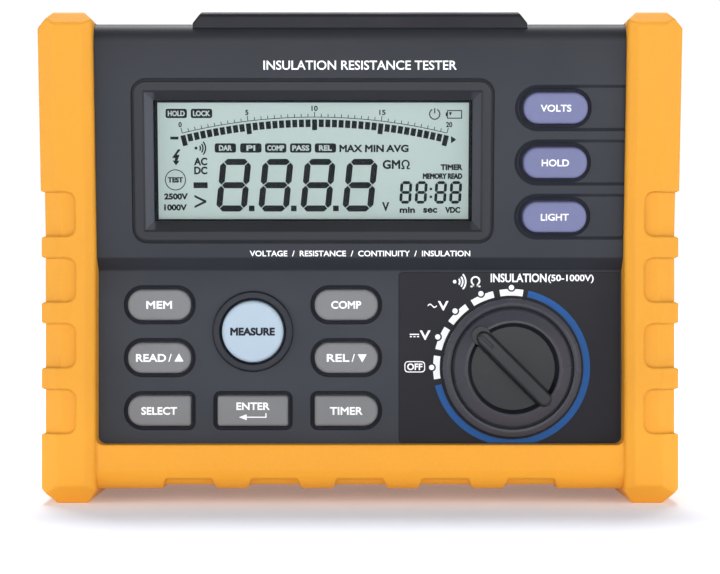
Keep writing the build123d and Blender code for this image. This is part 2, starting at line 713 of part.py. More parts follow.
with BuildPart() as fuse_clips:
    with BuildSketch(Plane.YZ.offset(FUSE_X)):
        with Locations((FUSE_Y, FUSE_Z)):
            Circle(4.0)
            Circle(3.3, mode=Mode.SUBTRACT)
            Rectangle(9, 4.4, align=(Align.MAX, Align.CENTER), mode=Mode.SUBTRACT)
        with Locations((FUSE_Y + 3.5, FUSE_Z)):
            Rectangle(POWER_FRONT_Y - FUSE_Y - 3.5, 5, align=(Align.MIN, Align.CENTER))
    extrude(amount=15.5, both=True)
    with Locations((FUSE_X, FUSE_Y, FUSE_Z)):
        Box(21, 30, 30, mode=Mode.SUBTRACT)
save(fuse_clips.part, "fuse_clips")

# A flat ribbon joins the main board to the power board in one soft loop.
RIBBON_X, RIBBON_WIDE = -66.0, 16.0
with BuildPart() as board_ribbon:
    with BuildSketch(Plane.YZ.offset(RIBBON_X - RIBBON_WIDE / 2)):
        with BuildLine():
            FilletPolyline(
                (BOARD_BACK_Y + 4.0, 60.0),
                (BOARD_BACK_Y + 12.0, 60.0),
                (POWER_FRONT_Y - 12.0, 84.0),
                (POWER_FRONT_Y - 4.0, 84.0),
                radius=4.0,
            )
        trace(line_width=0.9)
    extrude(amount=RIBBON_WIDE)
save(board_ribbon.part, "board_ribbon")

with BuildPart() as ribbon_headers:
    with Locations((RIBBON_X, BOARD_BACK_Y + 2.0, 60.0)):
        Box(RIBBON_WIDE + 2, 4.0, 5.0)
    with Locations((RIBBON_X, POWER_FRONT_Y - 2.0, 84.0)):
        Box(RIBBON_WIDE + 2, 4.0, 5.0)
save(ribbon_headers.part, "ribbon_headers")


# ------------------------------------------------------------ terminals on top
SOCKET_X = (-33.0, -11.0, 11.0, 33.0)
SOCKETS = [(x, TERMINAL_Y) for x in SOCKET_X]
SOCKET_NAMES = ("line", "earth", "guard", "volt")
WELL_R = 5.4
CONTACT_R, PLUG_R = 3.0, 2.0
CONTACT_TOP_Z = 150.0
WELL_FLOOR_Z = 127.0
BLOCK_LOW_Z = 122.0
COVER_TOP_Z = 155.3
COVER_HALF_X, COVER_SLANT = 52.6, 2.8
RING_OUT_R = 7.2

with BuildPart() as terminal_block:
    with Locations((0, TERMINAL_Y, BLOCK_LOW_Z)):
        Box(
            2 * TERMINAL_HALF_X,
            2 * TERMINAL_HALF_Y,
            CASE_TOP_Z - BLOCK_LOW_Z,
            align=(Align.CENTER, Align.CENTER, Align.MIN),
        )
    fillet(terminal_block.edges().filter_by(Axis.Z), 1.0)
    with BuildSketch(Plane.XY.offset(CASE_TOP_Z)):
        with Locations(SOCKETS):
            Circle(WELL_R)
    extrude(amount=WELL_FLOOR_Z - CASE_TOP_Z, mode=Mode.SUBTRACT)
    with BuildSketch(Plane.XY.offset(BLOCK_LOW_Z)):
        with Locations(SOCKETS):
            Circle(CONTACT_R)
    extrude(amount=WELL_FLOOR_Z - BLOCK_LOW_Z, mode=Mode.SUBTRACT)
save(terminal_block.part, "terminal_block")

with BuildPart() as socket_contacts:
    with BuildSketch(Plane.XY.offset(BLOCK_LOW_Z)):
        with Locations(SOCKETS):
            Circle(CONTACT_R)
    extrude(amount=CONTACT_TOP_Z - BLOCK_LOW_Z)
    with BuildSketch(Plane.XY.offset(WELL_FLOOR_Z)):
        with Locations(SOCKETS):
            Circle(CONTACT_R + 1.0)
    extrude(amount=1.2)
    with BuildSketch(Plane.XY.offset(BLOCK_LOW_Z)):
        with Locations(SOCKETS):
            Circle(1.1)
    extrude(amount=-5)
    with BuildSketch(Plane.XY.offset(CONTACT_TOP_Z)):
        with Locations(SOCKETS):
            Circle(PLUG_R)
    extrude(amount=WELL_FLOOR_Z - CONTACT_TOP_Z, mode=Mode.SUBTRACT)
save(socket_contacts.part, "socket_contacts")

for x, socket in zip(SOCKET_X, SOCKET_NAMES):
    with BuildPart() as socket_ring:
        with BuildSketch(Plane.XY.offset(CASE_TOP_Z)):
            with Locations((x, TERMINAL_Y)):
                Circle(RING_OUT_R)
                Circle(WELL_R, mode=Mode.SUBTRACT)
        extrude(amount=HEIGHT - CASE_TOP_Z)
        fillet(socket_ring.edges().group_by(Axis.Z)[-1], 0.4)
    save(socket_ring.part, f"socket_ring_{socket}")

COVER_FRONT_Y, COVER_REAR_Y = -40.5, 20.0
with BuildPart() as terminal_cover:
    with BuildSketch(upright(COVER_REAR_Y)):
        with BuildLine():
            Polyline(
                (-COVER_HALF_X, CASE_TOP_Z - 6),
                (-COVER_HALF_X, CASE_TOP_Z),
                (-COVER_HALF_X + COVER_SLANT, COVER_TOP_Z),
                (COVER_HALF_X - COVER_SLANT, COVER_TOP_Z),
                (COVER_HALF_X, CASE_TOP_Z),
                (COVER_HALF_X, CASE_TOP_Z - 6),
                close=True,
            )
        make_face()
    extrude(amount=COVER_REAR_Y - COVER_FRONT_Y)
    front_edge = terminal_cover.edges().filter_by(Axis.X).group_by(Axis.Z)[-1].sort_by(Axis.Y)
    fillet(front_edge[0], 2.0)
    rim = terminal_cover.faces().sort_by(Axis.Z)[-1].edges()
    fillet(rim, 0.5)
    add(case_solid, mode=Mode.SUBTRACT)
    with BuildSketch(Plane.XY.offset(CASE_TOP_Z)):
        with Locations(SOCKETS):
            Circle(RING_OUT_R + 0.05)
    extrude(amount=10, mode=Mode.SUBTRACT)
    with BuildSketch(Plane.XY.offset(COVER_TOP_Z)):
        with Locations(SOCKETS):
            Circle(10.2)
            Circle(9.4, mode=Mode.SUBTRACT)
    extrude(amount=-0.5, mode=Mode.SUBTRACT)
save(terminal_cover.part, "terminal_cover")


# ------------------------------------------------------------ batteries
CELL_R, CELL_LONG = 13.1, 50.0
CELL_PITCH = 26.5
CELL_ROWS = [46.0 + CELL_PITCH * row for row in range(4)]
CELL_Y = 28.6
TRAY_HALF_X = 54.0
TRAY_LOW_Z, TRAY_HIGH_Z = 32.2, 139.4
TRAY_FLOOR_Y = 14.6
COVER_LOW_Z, COVER_HIGH_Z = 24.2, 147.0
COVER_HALF_WIDE = 58.3
COVER_INNER_Y = 43.0
COVER_SCREWS = [(-40.0, 27.9), (40.0, 27.9), (-40.0, 143.2), (40.0, 143.2)]
PLATE_THICK = 0.5
NUB_R, NUB_LONG = 4.2, 1.5


def along_x(x, z, direction):
    """A plane across a cell row, with its normal along X in the given direction."""
    return Plane(origin=(x, CELL_Y, z), x_dir=(0, 1, 0), z_dir=(direction, 0, 0))


# Cells alternate: each row's positive end is on the side of direction.
ROW_DIRECTIONS = [(z, 1 if row % 2 else -1) for row, z in enumerate(CELL_ROWS)]
POSITIVE_X = TRAY_HALF_X - PLATE_THICK
SPRING_LONG = 2 * POSITIVE_X - 2 * CELL_LONG
SPRING_WIRE_R = 0.35

with BuildPart() as battery_cells:
    for z, direction in ROW_DIRECTIONS:
        for cell in range(2):
            tip = POSITIVE_X - cell * CELL_LONG
            with BuildSketch(along_x(direction * (tip - NUB_LONG), z, direction)):
                Circle(CELL_R)
            extrude(amount=-(CELL_LONG - NUB_LONG - 0.2))
            with BuildSketch(along_x(direction * (tip - NUB_LONG), z, direction)):
                Circle(NUB_R)
            extrude(amount=NUB_LONG)
    fillet(battery_cells.edges().filter_by(GeomType.CIRCLE).group_by(SortBy.RADIUS)[-1], 0.8)
save(battery_cells.part, "battery_cells")

with BuildPart() as battery_plates:
    for z, direction in ROW_DIRECTIONS:
        for side in (-1, 1):
            with BuildSketch(along_x(side * TRAY_HALF_X, z, -side)):
                RectangleRounded(22, 20, 2)
            extrude(amount=PLATE_THICK)
save(battery_plates.part, "battery_plates")

with BuildPart() as battery_springs:
    for z, direction in ROW_DIRECTIONS:
        foot = (-direction * (POSITIVE_X - SPRING_WIRE_R), CELL_Y, z)
        with BuildLine() as coil:
            Helix(
                pitch=1.7,
                height=SPRING_LONG - 2 * SPRING_WIRE_R - 0.2,
                radius=5.5,
                center=foot,
                direction=(direction, 0, 0),
            )
        with BuildSketch(Plane(origin=coil.line @ 0, z_dir=coil.line % 0)):
            Circle(SPRING_WIRE_R)
        sweep(path=coil.line, is_frenet=True)
save(battery_springs.part, "battery_springs")


# ------------------------------------------------------------ rear case
STAND_PIVOT_Z, STAND_PIVOT_Y = 132.0, 42.7
STAND_OUTER_Y, STAND_THICK = 45.2, 5.0
LEG_IN_X, LEG_OUT_X = 61.9, 69.9
STAND_LOW_Z, STAND_BAR = 15.2, 7.4
CHANNEL_GAP = 0.4
CHANNEL_Y = STAND_OUTER_Y - STAND_THICK - 0.5
PIN_R = 1.5
SCREW_SEAT_Y = 14.0


def inside_case(y_low, y_high, x_half, z_low, z_high):
    """A block of solid behind the rear wall, trimmed to the case."""
    with BuildPart() as block:
        with Locations((0, y_low, (z_low + z_high) / 2)):
            Box(
                2 * x_half,
                y_high - y_low,
                z_high - z_low,
                align=(Align.CENTER, Align.MIN, Align.CENTER),
            )
    return block.part & case_solid


tongue_lip = (case_block(WALL + 0.1) - case_block(WALL + 1.3)) & Pos(0, 0.5, 80) * Box(200, 5, 200)
tongue_root = (case_block(WALL - 0.2) - case_block(WALL + 1.3)) & Pos(0, 1.8, 80) * Box(200, 2.4, 200)
tray_walls = inside_case(TRAY_FLOOR_Y - 2.0, 45.0, TRAY_HALF_X + 2.0, TRAY_LOW_Z - 2, TRAY_HIGH_Z + 2)
cover_backing = inside_case(CHANNEL_Y - 2.4, 45.0, LEG_OUT_X + 3.2, CASE_BOTTOM_Z + 1, CASE_TOP_Z - 1)

with BuildPart() as rear_case:
    add(case_solid)
    add(case_cavity, mode=Mode.SUBTRACT)
    split(bisect_by=upright(PART_Y), keep=Keep.BOTTOM)
    add(tongue_lip)
    add(tongue_root)
    add(tray_walls)
    add(cover_backing)
    # corner tubes for the case screws, and short bosses for the battery cover's
    with BuildSketch(upright(CASE_BACK_Y - 1)):
        with Locations(CASE_SCREWS):
            Circle(4.6)
    extrude(amount=CASE_BACK_Y - 1 - PART_Y)
    with BuildSketch(upright(COVER_INNER_Y)):
        with Locations(COVER_SCREWS):
            Circle(3.6)
    extrude(amount=15)
    # pegs for the power board
    with BuildSketch(upright(TRAY_FLOOR_Y)):
        with Locations(POWER_SCREWS):
            Circle(PILLAR_R + 0.5)
    extrude(amount=TRAY_FLOOR_Y - POWER_BACK_Y)
    with Locations((0, TRAY_FLOOR_Y - 1.0, 71.0)):
        Box(133, 2.0, 90)
    with BuildSketch(upright(POWER_BACK_Y)):
        with Locations(POWER_SCREWS):
            Circle(PILOT_R)
    extrude(amount=-6, mode=Mode.SUBTRACT)
    # the battery tray and the seat of its cover
    with Locations((0, TRAY_FLOOR_Y, (TRAY_LOW_Z + TRAY_HIGH_Z) / 2)):
        Box(
            2 * TRAY_HALF_X,
            60,
            TRAY_HIGH_Z - TRAY_LOW_Z,
            align=(Align.CENTER, Align.MIN, Align.CENTER),
            mode=Mode.SUBTRACT,
        )
    with BuildSketch(upright(CASE_BACK_Y + 1)):
        with Locations((0, (COVER_LOW_Z + COVER_HIGH_Z) / 2)):
            RectangleRounded(
                2 * COVER_HALF_WIDE + 0.6, COVER_HIGH_Z - COVER_LOW_Z + 0.6, 3.3
            )
    extrude(amount=CASE_BACK_Y + 1 - COVER_INNER_Y, mode=Mode.SUBTRACT)
    with BuildSketch(upright(COVER_INNER_Y)):
        with Locations(COVER_SCREWS):
            Circle(SCREW_HOLE_R)
    extrude(amount=12, mode=Mode.SUBTRACT)
    # the channel that the folded stand lies in
    with BuildSketch(upright(CASE_BACK_Y + 1)):
        for side in (-1, 1):
            with Locations((side * (LEG_IN_X + LEG_OUT_X) / 2, STAND_LOW_Z - CHANNEL_GAP)):
                Rectangle(
                    LEG_OUT_X - LEG_IN_X + 2 * CHANNEL_GAP,
                    STAND_PIVOT_Z + 4.5 - STAND_LOW_Z,
                    align=(Align.CENTER, Align.MIN),
                )
        with Locations((0, STAND_LOW_Z - CHANNEL_GAP)):
            Rectangle(
                2 * LEG_OUT_X,
                STAND_BAR + 2 * CHANNEL_GAP,
                align=(Align.CENTER, Align.MIN),
            )
    extrude(amount=CASE_BACK_Y + 1 - CHANNEL_Y, mode=Mode.SUBTRACT)
    # a finger scoop under the middle of the stand's bar
    with BuildSketch(upright(CASE_BACK_Y + 1)):
        with Locations((0, STAND_LOW_Z)):
            SlotOverall(28, 9)
    extrude(amount=6, mode=Mode.SUBTRACT)
    # screw passages from the back
    with BuildSketch(upright(CASE_BACK_Y + 1)):
        with Locations(CASE_SCREWS):
            Circle(3.4)
    extrude(amount=CASE_BACK_Y + 1 - SCREW_SEAT_Y, mode=Mode.SUBTRACT)
    with BuildSketch(upright(SCREW_SEAT_Y)):
        with Locations(CASE_SCREWS):
            Circle(1.7)
    extrude(amount=SCREW_SEAT_Y + 1, mode=Mode.SUBTRACT)
    # opening in the top for the terminal block
    with BuildSketch(Plane.XY.offset(CASE_TOP_Z - 6)):
        with Locations((0, TERMINAL_Y)):
            Rectangle(2 * TERMINAL_HALF_X + 0.6, 2 * TERMINAL_HALF_Y + 0.6)
    extrude(amount=10, mode=Mode.SUBTRACT)
    # holes for the stand's pivot pins
    for side in (-1, 1):
        with Locations(
            Plane(
                origin=(side * (LEG_IN_X - 3.4), STAND_PIVOT_Y, STAND_PIVOT_Z),
                x_dir=(0, 1, 0),
                z_dir=(side, 0, 0),
            )
        ):
            Cylinder(PIN_R, 14.5, align=(Align.CENTER, Align.CENTER, Align.MIN), mode=Mode.SUBTRACT)
save(rear_case.part, "rear_case")

case_screw = pan_screw(27.0, PILOT_R - 0.02, 3.1, 2.2)
with BuildPart() as case_screws:
    for spot in from_behind(CASE_SCREWS, SCREW_SEAT_Y):
        with Locations(spot):
            add(case_screw)
save(case_screws.part, "case_screws")

with BuildPart() as battery_cover:
    with BuildSketch(upright(CASE_BACK_Y)):
        with Locations((0, (COVER_LOW_Z + COVER_HIGH_Z) / 2)):
            RectangleRounded(2 * COVER_HALF_WIDE, COVER_HIGH_Z - COVER_LOW_Z, 3)
    extrude(amount=CASE_BACK_Y - COVER_INNER_Y)
    fillet(battery_cover.faces().sort_by(Axis.Y)[-1].edges(), 0.5)
    # grip ribs left between shallow grooves
    with BuildSketch(upright(CASE_BACK_Y)):
        with Locations((0, 124.0)):
            with GridLocations(0, 4.0, 1, 5):
                SlotOverall(46, 1.8)
    extrude(amount=0.8, mode=Mode.SUBTRACT)
    with BuildSketch(upright(CASE_BACK_Y)):
        with Locations((0, 76.0)):
            RectangleRounded(84, 60, 3)
            RectangleRounded(82, 58, 2.4, mode=Mode.SUBTRACT)
    extrude(amount=0.5, mode=Mode.SUBTRACT)
    with BuildSketch(upright(CASE_BACK_Y)):
        with Locations(COVER_SCREWS):
            Circle(3.1)
    extrude(amount=1.4, mode=Mode.SUBTRACT)
    with BuildSketch(upright(CASE_BACK_Y)):
        with Locations(COVER_SCREWS):
            Circle(SCREW_HOLE_R + 0.1)
    extrude(amount=4, mode=Mode.SUBTRACT)
save(battery_cover.part, "battery_cover")

cover_screw = pan_screw(8.5, SCREW_R, 2.7, 1.3)
with BuildPart() as cover_screws:
    for spot in from_behind(COVER_SCREWS, CASE_BACK_Y - 1.4):
        with Locations(spot):
            add(cover_screw)
save(cover_screws.part, "cover_screws")

with BuildPart() as tilt_stand:
    with BuildSketch(upright(STAND_OUTER_Y)) as frame:
        with Locations((0, STAND_LOW_Z)):
            Rectangle(
                2 * LEG_OUT_X,
                STAND_PIVOT_Z + STAND_THICK / 2 - STAND_LOW_Z,
                align=(Align.CENTER, Align.MIN),
            )
        fillet(frame.vertices().group_by(Axis.Y)[0], 2.0)
        with Locations((0, STAND_LOW_Z + STAND_BAR)):
            Rectangle(2 * LEG_IN_X, 200, align=(Align.CENTER, Align.MIN), mode=Mode.SUBTRACT)
    extrude(amount=STAND_THICK)
    leg_ends = tilt_stand.edges().filter_by(Axis.X).group_by(Axis.Z)[-1]
    fillet(leg_ends, STAND_THICK / 2 - 0.05)
    for side in (-1, 1):
        with Locations(
            Plane(
                origin=(side * (LEG_IN_X - 1), STAND_PIVOT_Y, STAND_PIVOT_Z),
                x_dir=(0, 1, 0),
                z_dir=(side, 0, 0),
            )
        ):
            Cylinder(
                PIN_R + 0.06, 11, align=(Align.CENTER, Align.CENTER, Align.MIN), mode=Mode.SUBTRACT
            )
    # a notch to lift the bar by
    with BuildSketch(upright(STAND_OUTER_Y)):
        with Locations((0, STAND_LOW_Z)):
            SlotOverall(28, 7.0)
    extrude(amount=STAND_THICK, mode=Mode.SUBTRACT)
    # grooves along the bar's outer face, where it meets the table
    with BuildSketch(upright(STAND_OUTER_Y)):
        with Locations((0, STAND_LOW_Z + STAND_BAR / 2)):
            with GridLocations(0, 2.2, 1, 2):
                SlotOverall(2 * LEG_IN_X - 20, 0.9)
    extrude(amount=0.5, mode=Mode.SUBTRACT)
save(tilt_stand.part, "tilt_stand")

with BuildPart() as stand_pins:
    for side in (-1, 1):
        with Locations(
            Plane(
                origin=(side * (LEG_IN_X - 3.4), STAND_PIVOT_Y, STAND_PIVOT_Z),
                x_dir=(0, 1, 0),
                z_dir=(side, 0, 0),
            )
        ):
            Cylinder(PIN_R, 14.5, align=(Align.CENTER, Align.CENTER, Align.MIN))
save(stand_pins.part, "stand_pins")


# ------------------------------------------------------------ holster
RAIL_IN_X = 83.5
RAIL_TOP_Z = 154.6
RAIL_BEND_Z = 84.0
OUTER_BEVEL, INNER_BEVEL = 5.6, 3.2
OUTER_DROP, INNER_DROP = 3.6, 1.3
TOP_BEVEL, FOOT_BEVEL, HEEL_BEVEL = 4.0, 6.0, 4.0
RIDGE_ROUND, BEND_ROUND, EDGE_ROUND = 1.6, 1.5, 1.2
RAIL_TIP_Y = FRONT_Y - TOP_BEVEL * sin(LEAN)
RAIL_LOW_Y = RAIL_TIP_Y + (RAIL_TOP_Z - RAIL_BEND_Z) * tan(LEAN)
TOP_CUT, FOOT_CUT = 5.2, 5.0
SILL_FRONT_Y = -36.6
SILL_LOW_Z, SILL_TOP_Z = 4.3, 18.7
SILL_ROUND, WINDOW_CORNER = 7.0, 2.4
GRIP_DEEP, GRIP_HIGH, GRIP_PITCH, GRIP_LOWEST_Z = 1.1, 14.0, 20.75, 29.4
GRIP_IN_X, GRIP_BACK_Y, GRIP_CORNER = 89.6, 24.0, 3.0
GRIP_FLARE = 1.0
NOTCH_DEEP, NOTCH_PITCH, NOTCH_TOP_Z = 1.25, 27.1, 8.0
NOTCH_WIDE, NOTCH_NARROW = 17.6, 14.6
LIP_IN_X, LIP_TOP_Z = 76.0, 13.4
RUBBER_GAP = 0.1


def rail(inset):
    """The right-hand rail of the holster as a solid, its skin drawn in by inset."""
    outer = WIDTH / 2 - inset
    low_y = RAIL_LOW_Y + inset
    tip_y = RAIL_TIP_Y + inset
    with BuildPart() as block:
        # one section carries both halves: straight down, and leaning forward going up
        with BuildSketch(Plane.XY.offset(RAIL_BEND_Z)) as section:
            with BuildLine():
                Polyline(
                    (RAIL_IN_X, 0),
                    (RAIL_IN_X, low_y + INNER_DROP),
                    (RAIL_IN_X + INNER_BEVEL, low_y),
                    (outer - OUTER_BEVEL, low_y),
                    (outer, low_y + OUTER_DROP),
                    (outer, 0),
                    close=True,
                )
            make_face()
            fillet(section.vertices().filter_by_position(Axis.Y, low_y - 1, -1), RIDGE_ROUND)
        extrude(amount=-RAIL_BEND_Z)
        extrude(section.sketch, amount=HEIGHT, dir=(0, -sin(LEAN), cos(LEAN)))
        with Locations((RAIL_IN_X, BACK_Y, 0)):
            Box(
                outer - RAIL_IN_X,
                BACK_Y - low_y - 2 * OUTER_BEVEL,
                HEIGHT,
                align=(Align.MIN, Align.MAX, Align.MIN),
            )
        heels = block.edges().filter_by(Axis.Z).group_by(Axis.Y)[-1]
        chamfer(heels.sort_by(Axis.X)[-1], HEEL_BEVEL)
        with BuildSketch(Plane.YZ) as side:
            with BuildLine():
                Polyline(
                    (low_y, 0),
                    (low_y, RAIL_BEND_Z),
                    (tip_y, RAIL_TOP_Z),
                    (BACK_Y, RAIL_TOP_Z),
                    (BACK_Y, 0),
                    close=True,
                )
            make_face()
            chamfer(side.vertices().sort_by_distance((low_y, 0, 0))[0], FOOT_BEVEL)
            chamfer(side.vertices().sort_by_distance((tip_y, RAIL_TOP_Z, 0))[0], TOP_BEVEL)
            chamfer(side.vertices().group_by(Axis.X)[-1], HEEL_BEVEL)
            fillet(side.vertices().filter_by_position(Axis.X, tip_y - 1, 0), BEND_ROUND)
        extrude(amount=WIDTH, both=True, mode=Mode.INTERSECT)
        with BuildSketch(Plane.XZ) as front:
            with BuildLine():
                Polyline(
                    (RAIL_IN_X, SILL_LOW_Z),
                    (RAIL_IN_X + 3.0, 0),
                    (outer - FOOT_CUT, 0),
                    (outer, FOOT_CUT),
                    (outer, RAIL_TOP_Z - TOP_CUT),
                    (outer - TOP_CUT, RAIL_TOP_Z),
                    (RAIL_IN_X + 2.8, RAIL_TOP_Z),
                    (RAIL_IN_X, RAIL_TOP_Z - 2.6),
                    close=True,
                )
            make_face()
            fillet(front.vertices(), EDGE_ROUND)
        extrude(amount=DEPTH, both=True, mode=Mode.INTERSECT)
    return block.part


def sill(inset):
    """The holster's base and its front and back lips, its skin drawn in by inset."""
    with BuildPart() as block:
        with BuildSketch(Plane.YZ) as profile:
            with BuildLine():
                Polyline(
                    (SILL_FRONT_Y, SILL_LOW_Z),
                    (SILL_FRONT_Y, SILL_TOP_Z),
                    (0, SILL_TOP_Z),
                    (0, LIP_TOP_Z),
                    (BACK_Y, LIP_TOP_Z),
                    (BACK_Y, SILL_LOW_Z),
                    close=True,
                )
            make_face()
            fillet(
                profile.vertices().sort_by_distance((SILL_FRONT_Y, SILL_LOW_Z, 0))[0], SILL_ROUND
            )
            if inset:
                offset(amount=-inset, kind=Kind.INTERSECTION)
        extrude(amount=RAIL_IN_X + 1, both=True)
    return block.part


GRIP_SIDE_X = WIDTH / 2 - GRIP_IN_X
# What the grip pockets and the notches take away is the outer skin of the rubber.
rail_skin = rail(0) - rail(GRIP_DEEP)
with BuildPart() as grip_zone:
    with BuildSketch(upright(GRIP_BACK_Y)):
        with Locations((GRIP_IN_X, GRIP_LOWEST_Z + 1.5 * GRIP_PITCH)):
            with GridLocations(0, GRIP_PITCH, 1, 4):
                RectangleRounded(30, GRIP_HIGH, GRIP_CORNER, align=(Align.MIN, Align.CENTER))
                # the pocket's ends flare out to the rail's side
                Polygon(
                    (GRIP_SIDE_X - GRIP_DEEP, -GRIP_HIGH / 2),
                    (GRIP_SIDE_X + 1, -GRIP_HIGH / 2 - GRIP_FLARE),
                    (GRIP_SIDE_X + 1, GRIP_HIGH / 2 + GRIP_FLARE),
                    (GRIP_SIDE_X - GRIP_DEEP, GRIP_HIGH / 2),
                    align=None,
                )
    extrude(amount=DEPTH)
    fillet(grip_zone.edges().filter_by(Axis.X).group_by(Axis.Y)[-1], GRIP_CORNER)
grip_pockets = rail_skin & grip_zone.part

sill_skin = sill(0) - sill(NOTCH_DEEP)
with BuildPart() as notch_zone:
    with BuildSketch(upright(BACK_Y + 1)):
        with GridLocations(NOTCH_PITCH, 0, 5, 1):
            Polygon(
                (-NOTCH_WIDE / 2, 0),
                (-NOTCH_WIDE / 2, SILL_LOW_Z),
                (-NOTCH_NARROW / 2, NOTCH_TOP_Z),
                (NOTCH_NARROW / 2, NOTCH_TOP_Z),
                (NOTCH_WIDE / 2, SILL_LOW_Z),
                (NOTCH_WIDE / 2, 0),
                align=None,
            )
    extrude(amount=DEPTH + 2)
notches = sill_skin & notch_zone.part
snug_case = case_block(-RUBBER_GAP)

with BuildPart() as holster:
    add(rail(0))
    # a back lip that keeps the case in the rail
    with Locations((LIP_IN_X, BACK_Y, SILL_LOW_Z)):
        Box(
            RAIL_IN_X + 4 - LIP_IN_X,
            4,
            RAIL_TOP_Z - 8 - SILL_LOW_Z,
            align=(Align.MIN, Align.MAX, Align.MIN),
        )
    # the rounded lower corner of the window round the front panel
    with BuildSketch(upright(KEYPAD_Y)):
        with Locations((RAIL_IN_X, SILL_TOP_Z)):
            Rectangle(WINDOW_CORNER, WINDOW_CORNER, align=(Align.MAX, Align.MIN))
        with Locations((RAIL_IN_X - WINDOW_CORNER, SILL_TOP_Z + WINDOW_CORNER)):
            Circle(WINDOW_CORNER, mode=Mode.SUBTRACT)
    extrude(amount=KEYPAD_Y - SILL_FRONT_Y)
    mirror(about=Plane.YZ)
    add(sill(0))
    add(snug_case, mode=Mode.SUBTRACT)
    add(grip_pockets, mode=Mode.SUBTRACT)
    mirror(grip_pockets, about=Plane.YZ, mode=Mode.SUBTRACT)
    add(notches, mode=Mode.SUBTRACT)
save(holster.part, "holster")
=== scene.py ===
"""The looks of the insulation resistance tester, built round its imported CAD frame."""

import json
from math import asin, cos, degrees, pi, radians, sin

import bmesh
import bpy
from mathutils import Matrix, Vector
from mathutils.geometry import convex_hull_2d, delaunay_2d_cdt


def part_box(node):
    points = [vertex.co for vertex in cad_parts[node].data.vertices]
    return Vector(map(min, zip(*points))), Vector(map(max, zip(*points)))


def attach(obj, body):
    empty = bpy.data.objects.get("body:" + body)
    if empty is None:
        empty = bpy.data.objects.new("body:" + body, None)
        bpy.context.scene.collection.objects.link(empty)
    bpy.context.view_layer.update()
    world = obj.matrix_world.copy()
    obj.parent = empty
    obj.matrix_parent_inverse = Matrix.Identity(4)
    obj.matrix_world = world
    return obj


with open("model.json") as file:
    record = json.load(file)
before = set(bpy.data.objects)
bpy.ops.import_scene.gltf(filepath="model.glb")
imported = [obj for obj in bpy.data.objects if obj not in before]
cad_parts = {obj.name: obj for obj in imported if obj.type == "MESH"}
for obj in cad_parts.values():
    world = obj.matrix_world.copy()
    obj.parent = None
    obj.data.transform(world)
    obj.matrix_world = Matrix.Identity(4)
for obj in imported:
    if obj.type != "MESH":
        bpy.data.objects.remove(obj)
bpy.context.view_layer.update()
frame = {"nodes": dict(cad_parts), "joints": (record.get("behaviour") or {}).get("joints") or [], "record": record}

MM = 0.001
nodes = frame["nodes"]
joints = {joint["name"]: joint for joint in frame["joints"]}
scene = bpy.context.scene

# Thickness of printed ink and of a dark display segment, and their lift off the surface.
INK = 0.03 * MM
LIFT = 0.012 * MM
# Area in mm2 under which a part of a drawing is dropped, and the mm in which points are welded.
SLIVER = 1e-6
WELD_DRAWING, WELD_PIECE = 0.001, 0.002
# Between these values of 1 - cosine, a turn in an outline gets a sharp corner.
NEARLY_STRAIGHT, NEARLY_FOLDED = 0.02, 1.8


# ------------------------------------------------------------ places
def span(node, direction):
    """The lowest and highest reach of a CAD node along a direction."""
    reach = [vertex.co.dot(direction) for vertex in nodes[node].data.vertices]
    return min(reach), max(reach)


def middle(node, direction):
    """The middle of a CAD node's reach along a direction."""
    low, high = span(node, direction)
    return (low + high) / 2


class Panel:
    """A flat face: directions across, up and out, and its level along out."""

    def __init__(self, out, level):
        self.across = Vector((1, 0, 0))
        self.out = Vector(out).normalized()
        self.up = self.out.cross(self.across)
        self.level = level

    def centre(self, node):
        """Where a node's middle lies on this face, in metres across and up."""
        return middle(node, self.across), middle(node, self.up)

    def matrix(self, x, y, lift):
        """Puts a flat drawing's origin at x, y on the face, its +Z pointing out."""
        place = self.across * x + self.up * y + self.out * (self.level + lift)
        turn = Matrix((self.across, self.up, self.out)).transposed()
        return Matrix.Translation(place) @ turn.to_4x4()

    def top_of(self, node):
        """The parallel face on a node's outermost reach."""
        return Panel(self.out, span(node, self.out)[1])


keypad_out = -Vector(joints["key_memory_press"]["axis"])
display_out = -Vector(joints["key_hold_press"]["axis"])
overlay = Panel(keypad_out, span("dial_overlay", keypad_out)[1])
OVERLAY_PROUD = 0.1 * MM
keypad = Panel(keypad_out, overlay.level - OVERLAY_PROUD)
BEZEL_PROUD = 0.6 * MM
display = Panel(display_out, span("display_bezel", display_out)[1] - BEZEL_PROUD)
lcd = display.top_of("lcd_glass")
KNOB = Vector(joints["selector_turn"]["pos_m"])


# ------------------------------------------------------------ materials
# How brightly the studio lights a white surface that faces the camera, what a dark one adds
# by its sheen, and the darkest and palest base colours used.
STUDIO_LIGHT = 1.42
SHEEN = 0.03
DARKEST, PALEST = 0.004, 0.9
# The height and the knob radius that painted light and shade are placed against.
TALL = 0.16
KNOB_REACH = 22 * MM


